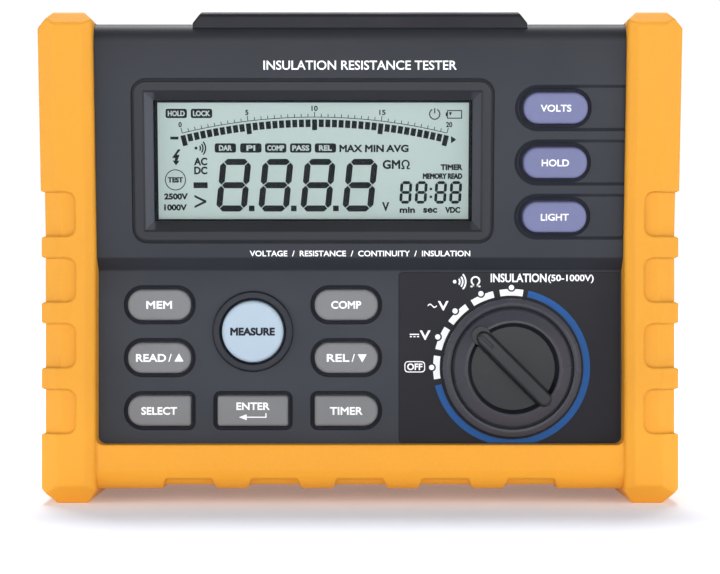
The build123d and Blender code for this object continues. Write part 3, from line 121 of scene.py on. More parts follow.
class Look:
    """A procedural material: one Principled shader fed by noise in object space."""

    def __init__(self, name, color, roughness=0.5, **sockets):
        self.material = bpy.data.materials.new(name)
        self.material.use_nodes = True
        self.tree = self.material.node_tree
        self.shader = self.tree.nodes["Principled BSDF"]
        self.place = self.tree.nodes.new("ShaderNodeTexCoord").outputs["Object"]
        self.color = color
        self.shader.inputs["Base Color"].default_value = (*color, 1)
        self.shader.inputs["Roughness"].default_value = roughness
        for socket, value in sockets.items():
            self.shader.inputs[socket.replace("_", " ")].default_value = value

    def node(self, kind, **inputs):
        """Adds a node and sets its inputs by name, linking the ones given as sockets."""
        made = self.tree.nodes.new(kind)
        for name, value in inputs.items():
            socket = made.inputs[name.replace("_", " ")]
            if isinstance(value, bpy.types.NodeSocket):
                self.tree.links.new(value, socket)
            else:
                socket.default_value = value
        return made

    def noise(self, scale, detail=2.0, rough=0.5, stretch=None):
        """A noise pattern, scale in cycles per metre, stretched along an axis if given."""
        place = self.place
        if stretch:
            mapping = self.node("ShaderNodeMapping", Vector=place)
            mapping.inputs["Scale"].default_value = stretch
            place = mapping.outputs["Vector"]
        made = self.node(
            "ShaderNodeTexNoise", Vector=place, Scale=scale, Detail=detail, Roughness=rough
        )
        return made.outputs["Fac"]

    def remap(self, value, low, high, out_low, out_high):
        """Maps a value's range low..high to out_low..out_high."""
        made = self.node("ShaderNodeMapRange", Value=value)
        ends = {"From Min": low, "From Max": high, "To Min": out_low, "To Max": out_high}
        for name, number in ends.items():
            made.inputs[name].default_value = number
        return made.outputs["Result"]

    def vary(self, fac, dark, light):
        """Varies the colour between dark and light times itself, by fac from 0 to 1."""
        made = self.node("ShaderNodeValToRGB", Fac=fac)
        for stop, level in zip(made.color_ramp.elements, (dark, light)):
            stop.color = (*[min(part * level, 1) for part in self.color], 1)
        self.tree.links.new(made.outputs["Color"], self.shader.inputs["Base Color"])

    def along(self, axis):
        """How far a point lies along X, Y or Z."""
        return self.node("ShaderNodeSeparateXYZ", Vector=self.place).outputs[axis]

    def vector(self, operation, first, second=None):
        """Vector maths on a socket and, for some operations, a second socket or value."""
        made = self.tree.nodes.new("ShaderNodeVectorMath")
        made.operation = operation
        self.tree.links.new(first, made.inputs[0])
        if isinstance(second, bpy.types.NodeSocket):
            self.tree.links.new(second, made.inputs[1])
        elif second is not None:
            made.inputs[1].default_value = second
        return made.outputs["Value" if operation in ("LENGTH", "DOT_PRODUCT") else "Vector"]

    def masked(self, value, rest, direction, level, start, end):
        """The value lower than start below a level along a direction, and rest above end."""
        height = self.vector("DOT_PRODUCT", self.place, direction)
        mask = self.remap(height, level - start, level - end, 1, 0)
        made = self.node("ShaderNodeMix", Factor=mask)
        made.inputs["A"].default_value = rest
        self.tree.links.new(value, made.inputs["B"])
        return made.outputs["Result"]

    def paint_light_and_shade(self, value, painted_levels):
        """Paints light and shade: multiplies the colour by a level that runs through (value, level) pairs, value 0
        to 1.
        """
        made = self.node("ShaderNodeValToRGB", Fac=value)
        stops = made.color_ramp.elements
        while len(stops) < len(painted_levels):
            stops.new(0.5)
        for stop, (position, level) in zip(stops, painted_levels):
            stop.position = position
            stop.color = (level, level, level, 1)
        base = self.shader.inputs["Base Color"]
        product = self.vector("MULTIPLY", base.links[0].from_socket, made.outputs["Color"])
        self.tree.links.new(product, base)

    def rough(self, fac, low, high):
        """Varies the roughness between low and high, by fac from 0 to 1."""
        value = self.remap(fac, 0.3, 0.7, low, high)
        self.tree.links.new(value, self.shader.inputs["Roughness"])

    def soften(self, radius):
        """Rounds the look of sharp edges by radius; comes before any bump."""
        made = self.node("ShaderNodeBevel", Radius=radius)
        self.tree.links.new(made.outputs["Normal"], self.shader.inputs["Normal"])

    def bump(self, height, distance, strength=1.0):
        """Raises the surface by height times distance, added to any bump already there."""
        made = self.node("ShaderNodeBump", Height=height, Distance=distance, Strength=strength)
        normal = self.shader.inputs["Normal"]
        if normal.links:
            self.tree.links.new(normal.links[0].from_socket, made.inputs["Normal"])
        self.tree.links.new(made.outputs["Normal"], normal)


def shown(*color):
    """The base colour that shows as a display colour, 0 to 255, under the studio light."""
    made = []
    for value in color:
        value /= 255
        linear = value / 12.92 if value <= 0.04045 else ((value + 0.055) / 1.055) ** 2.4
        made.append(min(max((linear - SHEEN) / STUDIO_LIGHT, DARKEST), PALEST))
    return tuple(made)


def moulded(name, color, roughness, grain, grain_scale, mottle=0.06, soft=0.0, gloss=0.3):
    """Moulded plastic or rubber: spark-eroded grain, faint mottling, uneven sheen.

    grain is the grain's height in mm, and soft the radius in mm that sharp edges look rounded to.
    """
    look = Look(name, color, roughness, Specular_IOR_Level=gloss)
    if soft:
        look.soften(soft * MM)
    cloud = look.noise(35, 3)
    fine = look.noise(grain_scale, 2, 0.6)
    both = look.node("ShaderNodeMath", Value=cloud)
    both.operation = "MULTIPLY_ADD"
    look.tree.links.new(fine, both.inputs[1])
    both.inputs[2].default_value = 0.25
    look.vary(look.remap(both.outputs[0], 0.35, 0.65, 0, 1), 1 - mottle, 1 + mottle)
    look.rough(cloud, roughness - 0.05, roughness + 0.06)
    look.bump(fine, grain * MM, 0.7)
    return look


def case_material():
    """The case's plastic, with painted shade: a darker step between the halves, and darker towards its top."""
    look = moulded("case_plastic", shown(73, 76, 83), 0.52, 0.03, 2400, 0.05, 0.35)
    # painted shade: the step between the halves drops to 0.72, and the display half darkens towards its top
    keypad_half, step = ((0.4, 1),), ((0.46, 0.72),)
    display_half_painted_shade = ((0.54, 0.76), (0.62, 0.82), (0.8, 0.8), (0.9, 0.6), (0.98, 0.4))
    look.paint_light_and_shade(look.remap(look.along("Z"), 0, TALL, 0, 1), keypad_half + step + display_half_painted_shade)
    return look


def bezel_material():
    """The display bezel's plastic, with painted light that makes its left and right slopes paler than the rest."""
    look = moulded("bezel_plastic", shown(101, 103, 110), 0.42, 0.02, 2400, 0.05, 0.35, 0.22)
    low, high = span("display_bezel", Vector((1, 0, 0)))
    face = span("display_bezel", display_out)[1]
    across = look.remap(look.along("X"), low, high, 0, 1)
    # only what lies below the bezel's face gets painted light by its place across
    inside = look.masked(across, 0.5, display_out, face, 0.6 * MM, 0.2 * MM)
    # painted light on the left and right slopes, lifted well above the face's level
    left_slope_painted_light = ((0.02, 0.33), (0.032, 1), (0.052, 1), (0.06, 0.33))
    right_slope_painted_light = ((0.94, 0.33), (0.948, 0.66), (0.968, 0.66), (0.98, 0.33))
    look.paint_light_and_shade(inside, left_slope_painted_light + right_slope_painted_light)
    return look


def knob_material():
    """The selector's plastic: a dull floor and grip, with painted light on the band and skirt round them and
    painted shade in the groove.
    """
    look = moulded("knob_black", shown(102, 103, 111), 0.28, 0.012, 2800, 0.05, 0.3, 0.22)
    spoke = look.vector("MULTIPLY", look.vector("SUBTRACT", look.place, KNOB), (1, 0, 1))
    radius = look.remap(look.vector("LENGTH", spoke), 0, KNOB_REACH, 0, 1)
    crest = span("selector_knob", keypad_out)[1]
    # the grip and its hood stand above the band and keep the floor's colour
    low_part = look.masked(radius, 0, keypad_out, crest, 2.7 * MM, 2.4 * MM)
    # painted light on the band and skirt, painted shade in the groove; the floor keeps the darkest level
    floor, band_painted_light = ((0.64, 0.2),), ((0.7, 0.85), (0.83, 0.85))
    groove_painted_shade, skirt_painted_light = ((0.87, 0.4), (0.92, 0.45)), ((0.95, 0.94),)
    look.paint_light_and_shade(low_part, floor + band_painted_light + groove_painted_shade + skirt_painted_light)
    return look


def rubber_material():
    """Orange overmoulded rubber: satin, slightly waxy, with painted light that makes it a little paler towards its
    foot.
    """
    look = moulded("holster_rubber", (0.84, 0.368, 0.03), 0.5, 0.025, 1900, 0.03, 1.1, 0.22)
    # painted light: the full level near the foot, dimmer higher up
    painted_levels = ((0.08, 1), (0.14, 0.97), (0.26, 0.86), (0.6, 0.82))
    look.paint_light_and_shade(look.remap(look.along("Z"), 0, TALL, 0, 1), painted_levels)
    look.shader.inputs["Subsurface Weight"].default_value = 0.12
    look.shader.inputs["Subsurface Radius"].default_value = (0.004, 0.0018, 0.0006)
    smudge = look.noise(90, 4, 0.6, (1, 1, 0.35))
    look.bump(smudge, 0.06 * MM, 0.25)
    return look


def lcd_material():
    """The display's pale reflective layer."""
    look = Look("lcd_layer", (0.59, 0.72, 0.672), 0.35)
    look.shader.inputs["Specular IOR Level"].default_value = 0.2
    look.vary(look.noise(14, 2), 0.96, 1.03)
    look.bump(look.noise(5000, 1), 0.002 * MM, 0.3)
    return look


def ink_and_shade_material(name, color, roughness=0.55):
    """Pad-printed ink, slightly uneven in body and sheen; also the flat dark colour of painted shade round the
    keys.
    """
    look = Look(name, color, roughness, Specular_IOR_Level=0.15)
    look.vary(look.noise(1800, 3), 0.95, 1.03)
    look.rough(look.noise(900, 2), roughness - 0.08, roughness + 0.08)
    return look


def clear_material():
    """A clear, hard window that lets the display show straight through."""
    look = Look("window_clear", (0.02, 0.025, 0.025), 0.04, Alpha=0.12, Specular_IOR_Level=0.12)
    look.vary(look.noise(40, 2), 0.8, 1.2)
    look.bump(look.noise(60, 2), 0.004 * MM, 0.2)
    return look


def metal(name, color, roughness=0.3, scratch=(1, 1, 30)):
    """Bright metal with fine drawn scratches and uneven polish."""
    look = Look(name, color, roughness, Metallic=1.0)
    brushed = look.noise(900, 4, 0.6, scratch)
    look.vary(brushed, 0.85, 1.08)
    look.rough(brushed, roughness - 0.08, roughness + 0.12)
    look.bump(brushed, 0.006 * MM, 0.5)
    return look


def board_material():
    """Green solder mask over copper tracks that show as faint raised lines."""
    look = Look("circuit_board", (0.012, 0.12, 0.05), 0.3)
    brick = look.node("ShaderNodeTexBrick", Vector=look.place, Scale=90.0)
    brick.inputs["Mortar Size"].default_value = 0.03
    look.vary(brick.outputs["Fac"], 1.0, 1.9)
    look.bump(brick.outputs["Fac"], 0.03 * MM, 0.6)
    return look


LOOKS = {
    "rubber_orange": rubber_material(),
    "case_plastic": case_material(),
    # the cover is darker than the case, partly its own colour and partly painted shade against the strong light on
    # its upward-tilted front
    "cover_plastic": moulded("cover_plastic", shown(48, 50, 58), 0.5, 0.03, 2400, 0.05, 0.5),
    "bezel_plastic": bezel_material(),
    "window_clear": clear_material(),
    "lcd": lcd_material(),
    "diffuser": moulded("light_guide", (0.8, 0.83, 0.82), 0.3, 0.005, 600, 0.03),
    "contact_strip": moulded("contact_strip", (0.25, 0.25, 0.28), 0.6, 0.02, 5000, 0.3),
    "board": board_material(),
    "steel": metal("zinc_steel", (0.62, 0.63, 0.66), 0.32),
    "silicone": moulded("keypad_silicone", (0.5, 0.51, 0.52), 0.6, 0.01, 1500, 0.05),
    "key_lavender": moulded("key_lavender", shown(134, 138, 177), 0.5, 0.02, 3200, 0.06),
    "key_grey": moulded("key_grey", shown(146, 147, 149), 0.5, 0.02, 3200, 0.07),
    "measure_blue": moulded("measure_blue", shown(200, 220, 236), 0.42, 0.01, 2600, 0.02),
    "ring_black": moulded("ring_black", shown(56, 58, 65), 0.42, 0.02, 2600, 0.05),
    "overlay_black": moulded(
        "overlay_film", shown(67, 67, 71), 0.5, 0.008, 3600, 0.03, gloss=0.12
    ),
    "knob_black": knob_material(),
    "acetal": moulded("acetal", (0.82, 0.82, 0.78), 0.35, 0.01, 900, 0.03),
    "spring_bronze": metal("spring_bronze", (0.72, 0.48, 0.24), 0.28),
    "brass": metal("turned_brass", (0.78, 0.6, 0.28), 0.22, (30, 30, 1)),
    "socket_red": moulded("socket_red", shown(196, 32, 30), 0.32, 0.01, 2600, 0.04),
    "socket_black": moulded("socket_black", shown(30, 30, 33), 0.32, 0.01, 2600, 0.05),
    "socket_green": moulded("socket_green", shown(28, 132, 62), 0.32, 0.01, 2600, 0.04),
    "chip_black": moulded("chip_epoxy", (0.02, 0.02, 0.022), 0.5, 0.02, 3000, 0.1),
    "ferrite": moulded("ferrite", (0.05, 0.05, 0.055), 0.6, 0.04, 1200, 0.15),
    "winding": moulded("winding_tape", (0.75, 0.52, 0.08), 0.25, 0.01, 1200, 0.06),
    "can_aluminium": moulded("capacitor_sleeve", (0.03, 0.05, 0.14), 0.25, 0.01, 900, 0.06),
    "relay_blue": moulded("relay_case", (0.02, 0.07, 0.26), 0.3, 0.01, 1600, 0.05),
    "fuse_glass": moulded("fuse_tube", (0.82, 0.84, 0.82), 0.15, 0.004, 900, 0.05),
    "ribbon": moulded("ribbon_flat", (0.42, 0.43, 0.46), 0.4, 0.02, 2400, 0.08),
    "cell": moulded("cell_wrap", (0.02, 0.05, 0.14), 0.22, 0.004, 900, 0.06),
    "stand_plastic": moulded("stand_nylon", shown(58, 60, 66), 0.45, 0.03, 2200, 0.06),
}
WHITE_INK = ink_and_shade_material("white_ink", (0.95, 0.95, 0.96))
BLUE_INK = ink_and_shade_material("blue_ink", shown(58, 108, 178), 0.4)
DARK_INK = ink_and_shade_material("dark_ink", (0.012, 0.012, 0.02), 0.4)
SEGMENT_AND_SHADOW = ink_and_shade_material("lcd_segment_and_shadow", (0.008, 0.011, 0.015), 0.5)
BADGE_GAP = ink_and_shade_material("lcd_gap", shown(240, 255, 250), 0.5)

slot_of = {row["node"]: row["material_slot"] for row in frame["record"]["subparts"]}
for name, node in nodes.items():
    node.data.materials.clear()
    node.data.materials.append(LOOKS[slot_of[name]].material)


# ------------------------------------------------------------ flat drawings
def from_curve(data):
    """Turns a text or a filled curve into mesh data."""
    maker = bpy.data.objects.new("maker", data)
    scene.collection.objects.link(maker)
    shapes = bpy.context.evaluated_depsgraph_get()
    mesh = bpy.data.meshes.new_from_object(maker.evaluated_get(shapes))
    bpy.data.objects.remove(maker)
    return mesh


def reach(mesh, axis):
    """The lowest and highest coordinate of a mesh along an axis."""
    values = [vertex.co[axis] for vertex in mesh.vertices]
    return min(values), max(values)


def thickened(mesh, grow):
    """A flat mesh with its outline moved out by grow, corners kept sharp, and no overlaps."""
    flat = bmesh.new()
    flat.from_mesh(mesh)
    bpy.data.meshes.remove(mesh)
    bmesh.ops.remove_doubles(flat, verts=flat.verts, dist=WELD_DRAWING)
    areas = [[corner.vert.co.xy for corner in face.loops] for face in flat.faces]
    normals = {}
    for edge in [edge for edge in flat.edges if len(edge.link_faces) == 1]:
        first, last = [vert.co.xy for vert in edge.verts]
        along = (last - first).normalized()
        out = Vector((along.y, -along.x))
        if out.dot(edge.link_faces[0].calc_center_median().xy - (first + last) / 2) > 0:
            out = -out
        areas.append([first, last, last + out * grow, first + out * grow])
        for vert in edge.verts:
            normals.setdefault(vert, []).append(out)
    for vert, outs in normals.items():
        if len(outs) == 2 and NEARLY_STRAIGHT < 1 - outs[0].dot(outs[1]) < NEARLY_FOLDED:
            centre = vert.co.xy
            tip = (outs[0] + outs[1]) / (1 + outs[0].dot(outs[1])) * grow
            areas.append([centre, centre + outs[0] * grow, centre + tip, centre + outs[1] * grow])
    flat.free()
    return union(areas)


def union(polygons):
    """One slab from overlapping polygons, triangulated, from z -0.5 to 0.5."""
    points, faces = [], []
    for polygon in polygons:
        area = sum(a.x * b.y - a.y * b.x for a, b in zip(polygon, polygon[1:] + polygon[:1])) / 2
        if abs(area) < SLIVER:
            continue
        faces.append(list(range(len(points), len(points) + len(polygon))))
        points += polygon if area > 0 else polygon[::-1]
    found = delaunay_2d_cdt(points, [], faces, 0, 1e-5)
    slab = bmesh.new()
    corners = [slab.verts.new((point.x, point.y, -0.5)) for point in found[0]]
    covered = [face for face, sources in zip(found[2], found[5]) if sources]
    kept = [slab.faces.new([corners[i] for i in face]) for face in covered]
    loose = [corner for corner in corners if not corner.link_faces]
    bmesh.ops.delete(slab, geom=loose, context="VERTS")
    raised = bmesh.ops.extrude_face_region(slab, geom=kept, use_keep_orig=True)["geom"]
    tops = [item for item in raised if isinstance(item, bmesh.types.BMVert)]
    bmesh.ops.translate(slab, vec=(0, 0, 1), verts=tops)
    mesh = bpy.data.meshes.new("union")
    slab.to_mesh(mesh)
    slab.free()
    return mesh


def words(text, wide, high, x, y, weight):
    """Lettering in mm: exactly wide by high, centred on x, y, its strokes let out by weight."""
    data = bpy.data.curves.new("letters", "FONT")
    data.body = text
    data.size = 1.0
    data.resolution_u = 4
    mesh = from_curve(data)
    left, right = reach(mesh, 0)
    low, top = reach(mesh, 1)
    grow_x, grow_y = (wide - 2 * weight) / (right - left), (high - 2 * weight) / (top - low)
    mesh.transform(Matrix.Translation((-(left + right) / 2, -(low + top) / 2, 0)))
    mesh.transform(Matrix.Translation((x, y, 0)) @ Matrix.Diagonal((grow_x, grow_y, 1, 1)))
    return thickened(mesh, weight)


def shape(outlines, x=0.0, y=0.0):
    """A flat shape in mm from closed outlines; an outline inside another is a hole."""
    data = bpy.data.curves.new("shape", "CURVE")
    data.dimensions = "2D"
    data.fill_mode = "BOTH"
    data.extrude = 0.5
    for outline in outlines:
        spline = data.splines.new("POLY")
        spline.points.add(len(outline) - 1)
        for point, (px, py) in zip(spline.points, outline):
            point.co = (px, py, 0, 1)
        spline.use_cyclic_u = True
    mesh = from_curve(data)
    mesh.transform(Matrix.Translation((x, y, 0)))
    return mesh


def arc(radius, start, end, steps, x=0.0, y=0.0):
    """Points on an arc, angles in degrees."""
    turns = [radians(start + (end - start) * step / steps) for step in range(steps + 1)]
    return [(x + radius * cos(turn), y + radius * sin(turn)) for turn in turns]


def band(inner, outer, start, end, steps, x=0.0, y=0.0):
    """An annular sector's outline."""
    return arc(outer, start, end, steps, x, y) + arc(inner, end, start, steps, x, y)


def disc(radius, steps):
    """A circle's outline."""
    return arc(radius, 0, 360 * (steps - 1) / steps, steps - 1)


CORNER_STEPS = 6


def rounded(wide, high, corner):
    """A rounded rectangle's outline."""
    points = []
    for quarter, (sx, sy) in enumerate(((1, 1), (-1, 1), (-1, -1), (1, -1))):
        points += arc(
            corner,
            90 * quarter,
            90 * quarter + 90,
            CORNER_STEPS,
            sx * (wide / 2 - corner),
            sy * (high / 2 - corner),
        )
    return points


def box_shape(wide, high, x, y):
    """A plain rectangle."""
    half, rise = wide / 2, high / 2
    return shape([[(half, rise), (-half, rise), (-half, -rise), (half, -rise)]], x, y)


def printed(name, meshes, panel, x, y, body, look, slot, lift=LIFT):
    """Joins flat drawings in mm into one thin piece, laid on a panel with its origin at x, y."""
    joined = bmesh.new()
    for mesh in meshes:
        joined.from_mesh(mesh)
        bpy.data.meshes.remove(mesh)
    bmesh.ops.remove_doubles(joined, verts=joined.verts, dist=WELD_PIECE)
    bmesh.ops.scale(joined, vec=(MM, MM, INK), verts=joined.verts)
    bmesh.ops.transform(joined, matrix=panel.matrix(x, y, lift + INK / 2), verts=joined.verts)
    bmesh.ops.recalc_face_normals(joined, faces=joined.faces)
    data = bpy.data.meshes.new(name)
    joined.to_mesh(data)
    joined.free()
    data.materials.append(look.material)
    piece = bpy.data.objects.new(name, data)
    scene.collection.objects.link(piece)
    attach(piece, body)


# ------------------------------------------------------------ symbols
def up_arrow(size, x, y, turn):
    """A solid triangle that points up, or down with turn -1."""
    foot, tip = -turn * size * 0.4, turn * size * 0.5
    return shape([[(-size / 2, foot), (size / 2, foot), (0, tip)]], x, y)


def enter_arrow(wide, x, y):
    """A return arrow: a shaft to the left with a short riser at its right end."""
    half, head, thin = wide / 2, 2.5, 0.17
    outline = [
        (-half, 0), (-half + head, 0.95), (-half + head, thin), (half - 2 * thin, thin),
        (half - 2 * thin, 1.3), (half, 1.3), (half, -thin), (-half + head, -thin),
        (-half + head, -0.95),
    ]
    return shape([outline], x, y)


def sound_waves(size, x, y):
    """A dot with three arcs spreading to its right."""
    made = [shape([disc(size * 0.13, 16)], x - size * 0.5, y)]
    for ring in range(3):
        radius = size * (0.38 + 0.22 * ring)
        spread = 34 + 4 * ring
        wave = band(radius - size * 0.06, radius + size * 0.06, -spread, spread, 10)
        made.append(shape([wave], x - size * 0.5, y))
    return made


def omega(size, x, y, weight):
    """The ohm sign: an open ring on two feet."""
    radius, rise, opening = size * 0.44, size * 0.07, 58
    ring = band(radius - weight, radius, -opening, 180 + opening, 28, 0, rise)
    stem_x = (radius - weight / 2) * cos(radians(opening))
    stem_top = rise - (radius - weight) * sin(radians(opening))
    foot = -size / 2
    made = [shape([ring], x, y)]
    for side in (-1, 1):
        foot_x = side * (stem_x + size * 0.09)
        made.append(box_shape(size * 0.34, weight * 0.9, x + foot_x, y + foot + weight * 0.45))
        stem_high = stem_top - foot
        made.append(box_shape(weight * 0.9, stem_high, x + side * stem_x, y + foot + stem_high / 2))
    return made


def sine_mark(wide, x, y, weight):
    """An alternating-current wave."""
    steps = 16
    phases = [step / steps for step in range(steps + 1)]
    line = [(wide * (part - 0.5), wide * 0.17 * sin(2 * pi * part)) for part in phases]
    upper = [(px, py + weight / 2) for px, py in line]
    lower = [(px, py - weight / 2) for px, py in reversed(line)]
    return shape([upper + lower], x, y)


def direct_mark(wide, x, y, weight):
    """A direct-current mark: a line over three dashes."""
    made = [box_shape(wide, weight, x, y + weight)]
    for step in (-1, 0, 1):
        made.append(box_shape(wide * 0.22, weight, x + step * wide * 0.38, y - weight))
    return made


def digit_eight(x, y, wide, high, bar, slant):
    """All seven segments of a slanted digit, with small mitred gaps between them."""
    gap = bar * 0.09
    half = bar / 2
    half_w, half_h = wide / 2 - half, high / 2 - half

    def across(level, length):
        tip = length - gap
        return [
            (-tip, level), (-tip + half, level + half), (tip - half, level + half),
            (tip, level), (tip - half, level - half), (-tip + half, level - half),
        ]

    def upright(side, low, top):
        low, top = low + gap, top - gap
        middle_x = side * half_w
        return [
            (middle_x, low), (middle_x + half, low + half), (middle_x + half, top - half),
            (middle_x, top), (middle_x - half, top - half), (middle_x - half, low + half),
        ]

    outlines = [across(level, half_w) for level in (half_h, 0, -half_h)]
    for side in (-1, 1):
        outlines += [upright(side, 0, half_h), upright(side, -half_h, 0)]
    leaned = [[(px + slant * py, py) for px, py in outline] for outline in outlines]
    return [shape([outline], x, y) for outline in leaned]


# ------------------------------------------------------------ printed legends
KEY_WORDS = {
    "key_test_voltage": ("VOLTS", 9.6, 2.2),
    "key_hold": ("HOLD", 8.6, 2.2),
    "key_light": ("LIGHT", 8.8, 2.2),
    "key_memory": ("MEM", 8.2, 2.5),
    "key_compare": ("COMP", 9.6, 2.5),
    "key_select": ("SELECT", 11.4, 2.5),
    "key_timer": ("TIMER", 10.4, 2.5),
    "measure_button": ("MEASURE", 14.2, 2.6),
}
BOLD, FINE, HEAVY = 0.09, 0.05, 0.17
SIDE_KEYS = ("key_test_voltage", "key_hold", "key_light")
for node, (text, wide, high) in KEY_WORDS.items():
    face, ink, weight = keypad, WHITE_INK, BOLD
    if node in SIDE_KEYS:
        face, weight = display, FINE
    if node == "measure_button":
        ink, weight = DARK_INK, HEAVY
    face = face.top_of(node)
    x, y = face.centre(node)
    legend = [words(text, wide, high, 0, 0, weight)]
    printed(f"legend_{node}", legend, face, x, y, node, ink, slot_of[node])

for node, text, wide, turn in (("key_read", "READ", 9.6, 1), ("key_relative", "REL", 7.2, -1)):
    face = keypad.top_of(node)
    x, y = face.centre(node)
    slash = shape([[(-0.55, -1.25), (-0.2, -1.25), (0.55, 1.25), (0.2, 1.25)]], wide / 2 - 1.35, 0)
    arrow = up_arrow(2.9, wide / 2 + 1.5, 0, turn)
    legend = [words(text, wide, 2.5, -2.6, 0, BOLD), slash, arrow]
    printed(f"legend_{node}", legend, face, x, y, node, WHITE_INK, slot_of[node])

face = keypad.top_of("key_enter")
x, y = face.centre("key_enter")
legend = [words("ENTER", 10.6, 2.4, 0.1, 1.5, BOLD), enter_arrow(8.8, 0.0, -2.0)]
printed("legend_key_enter", legend, face, x, y, "key_enter", WHITE_INK, slot_of["key_enter"])

# Painted shade: each key stands in a narrow recess whose floor is painted dark, from just outside the key,
# standing in for the shade in the gap.
TRENCH_IN, TRENCH_OUT = 0.35, 1.3
KEY_RECESS, SIDE_RECESS = 1.1 * MM, 1.5 * MM
TRENCH_SHADE = ink_and_shade_material("key_trench_shade", (0.016, 0.016, 0.026), 0.6)


def key_trench_shade(node, face, depth):
    """Painted shade round a key: a dark ring between its outline let out by two amounts."""
    level = face.level - depth
    corners = [vertex.co for vertex in nodes[node].data.vertices if vertex.co.dot(face.out) > level]
    flat = [Vector((corner.dot(face.across), corner.dot(face.up))) / MM for corner in corners]
    hull = [flat[i] for i in convex_hull_2d(flat)]
    centre = sum(hull, Vector((0, 0))) / len(hull)
    ring = []
    for grow in (TRENCH_OUT, TRENCH_IN):
        outline = []
        for before, here, after in zip(hull[-1:] + hull, hull, hull[1:] + hull[:1]):
            along = (after - here).normalized() + (here - before).normalized()
            out = Vector((along.y, -along.x)).normalized()
            outline.append(here + out * grow - centre)
        ring.append([tuple(point) for point in outline])
    floor_face = Panel(face.out, level)
    x, y = centre * MM
    printed(f"trench_{node}", [shape(ring)], floor_face, x, y, "case", TRENCH_SHADE, "case_plastic")


for node, slot in slot_of.items():
    if slot == "key_grey":
        key_trench_shade(node, keypad, KEY_RECESS)
    if slot == "key_lavender":
        key_trench_shade(node, display, SIDE_RECESS)

# A title above the display and a list of functions under it.
lcd_x, lcd_y = lcd.centre("lcd_glass")
bezel_low, bezel_high = span("display_bezel", display.up)
TITLE_RISE, SUBTITLE_DROP = 4.9 * MM, 4.0 * MM
printed(
    "panel_title",
    [words("INSULATION RESISTANCE TESTER", 60.6, 2.9, 0, 0, FINE)],
    display, 0, bezel_high + TITLE_RISE, "case", WHITE_INK, "case_plastic",
)
printed(
    "panel_subtitle",
    [words("VOLTAGE  /  RESISTANCE  /  CONTINUITY  /  INSULATION", 70.0, 1.85, 0, 0, FINE)],
    display, 0, bezel_low - SUBTITLE_DROP, "case", WHITE_INK, "case_plastic",
)

# The selector's scale: five stops marked in white, and a blue arc round the rest.
STOP_STEP = 22.5
STOPS = [180 - STOP_STEP * stop for stop in range(5)]
MARK_IN, MARK_OUT, MARK_HALF = 22.95, 25.05, 8.8
DOT_R, DOT_RING = 0.85, 1.35
DOT_ORBIT = 25.5
white, dark, dots = [], [], []
for stop in STOPS:
    white.append(shape([band(MARK_IN, MARK_OUT, stop - MARK_HALF, stop + MARK_HALF, 12)]))
    across, up = DOT_ORBIT * cos(radians(stop)), DOT_ORBIT * sin(radians(stop))
    dark.append(shape([disc(DOT_RING, 24)], across, up))
    dots.append(shape([disc(DOT_R, 24)], across, up))
dial = (KNOB.x, KNOB.z)
printed("dial_marks", white, overlay, *dial, "case", WHITE_INK, "overlay_black")
printed("dial_dot_rings", dark, overlay, *dial, "case", DARK_INK, "overlay_black", LIFT + INK)
printed("dial_dots", dots, overlay, *dial, "case", WHITE_INK, "overlay_black", LIFT + 2 * INK)

# The overlay's lower edge cuts the blue arc's lowest stretch flat.
EDGE_GAP = 0.05
edge = (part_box("dial_overlay")[0].z - KNOB.z) / MM + EDGE_GAP
BLUE_OUT, BLUE_IN, BLUE_START, BLUE_END = 25.1, 23.0, 77.5, -166.5
blue = band(BLUE_IN, BLUE_OUT, BLUE_START, BLUE_END, 90)
blue = [shape([[(px, max(py, edge)) for px, py in blue]])]
printed("dial_blue_arc", blue, overlay, *dial, "case", BLUE_INK, "overlay_black")

labels = [
    words("OFF", 4.9, 2.15, -30.9, 0.2, 0.08),
    shape([rounded(6.6, 3.6, 1.1), rounded(6.0, 3.0, 0.85)], -30.9, 0.2),
    words("V", 3.3, 3.05, -27.6, 10.3, 0.12),
    *direct_mark(3.0, -31.0, 10.2, 0.36),
    words("V", 3.3, 3.05, -21.8, 19.7, 0.12),
    sine_mark(2.9, -25.3, 19.7, 0.42),
    *sound_waves(4.3, -16.0, 27.4),
    *omega(3.5, -11.5, 27.4, 0.52),
    words("INSULATION", 17.9, 2.8, 2.3, 28.6, 0.08),
    words("(50-1000V)", 14.6, 2.75, 19.0, 28.3, 0.07),
]
printed("dial_labels", labels, overlay, *dial, "case", WHITE_INK, "overlay_black")


# ------------------------------------------------------------ display segments
def lcd_print(name, meshes, look=SEGMENT_AND_SHADOW, lift=LIFT):
    """A set of dark segments on the display, in mm from its middle."""
    printed(name, meshes, lcd, lcd_x, lcd_y, "case", look, "lcd", lift)


SCALE_R, SCALE_X, SCALE_TOP = 175.5, 0.5, 11.8
SCALE_HALF = degrees(asin(41.6 / SCALE_R))
BARS = 41


def on_scale(turn, low, high, wide):
    """A bar across the curved scale, turn degrees from its middle, between two heights."""
    lean = radians(turn)
    points = []
    for side, height in ((-1, low), (-1, high), (1, high), (1, low)):
        radius = SCALE_R + height
        px = SCALE_X + radius * sin(lean) + side * wide / 2 * cos(lean)
        py = SCALE_TOP - SCALE_R + radius * cos(lean) - side * wide / 2 * sin(lean)
        points.append((px, py))
    return shape([points])


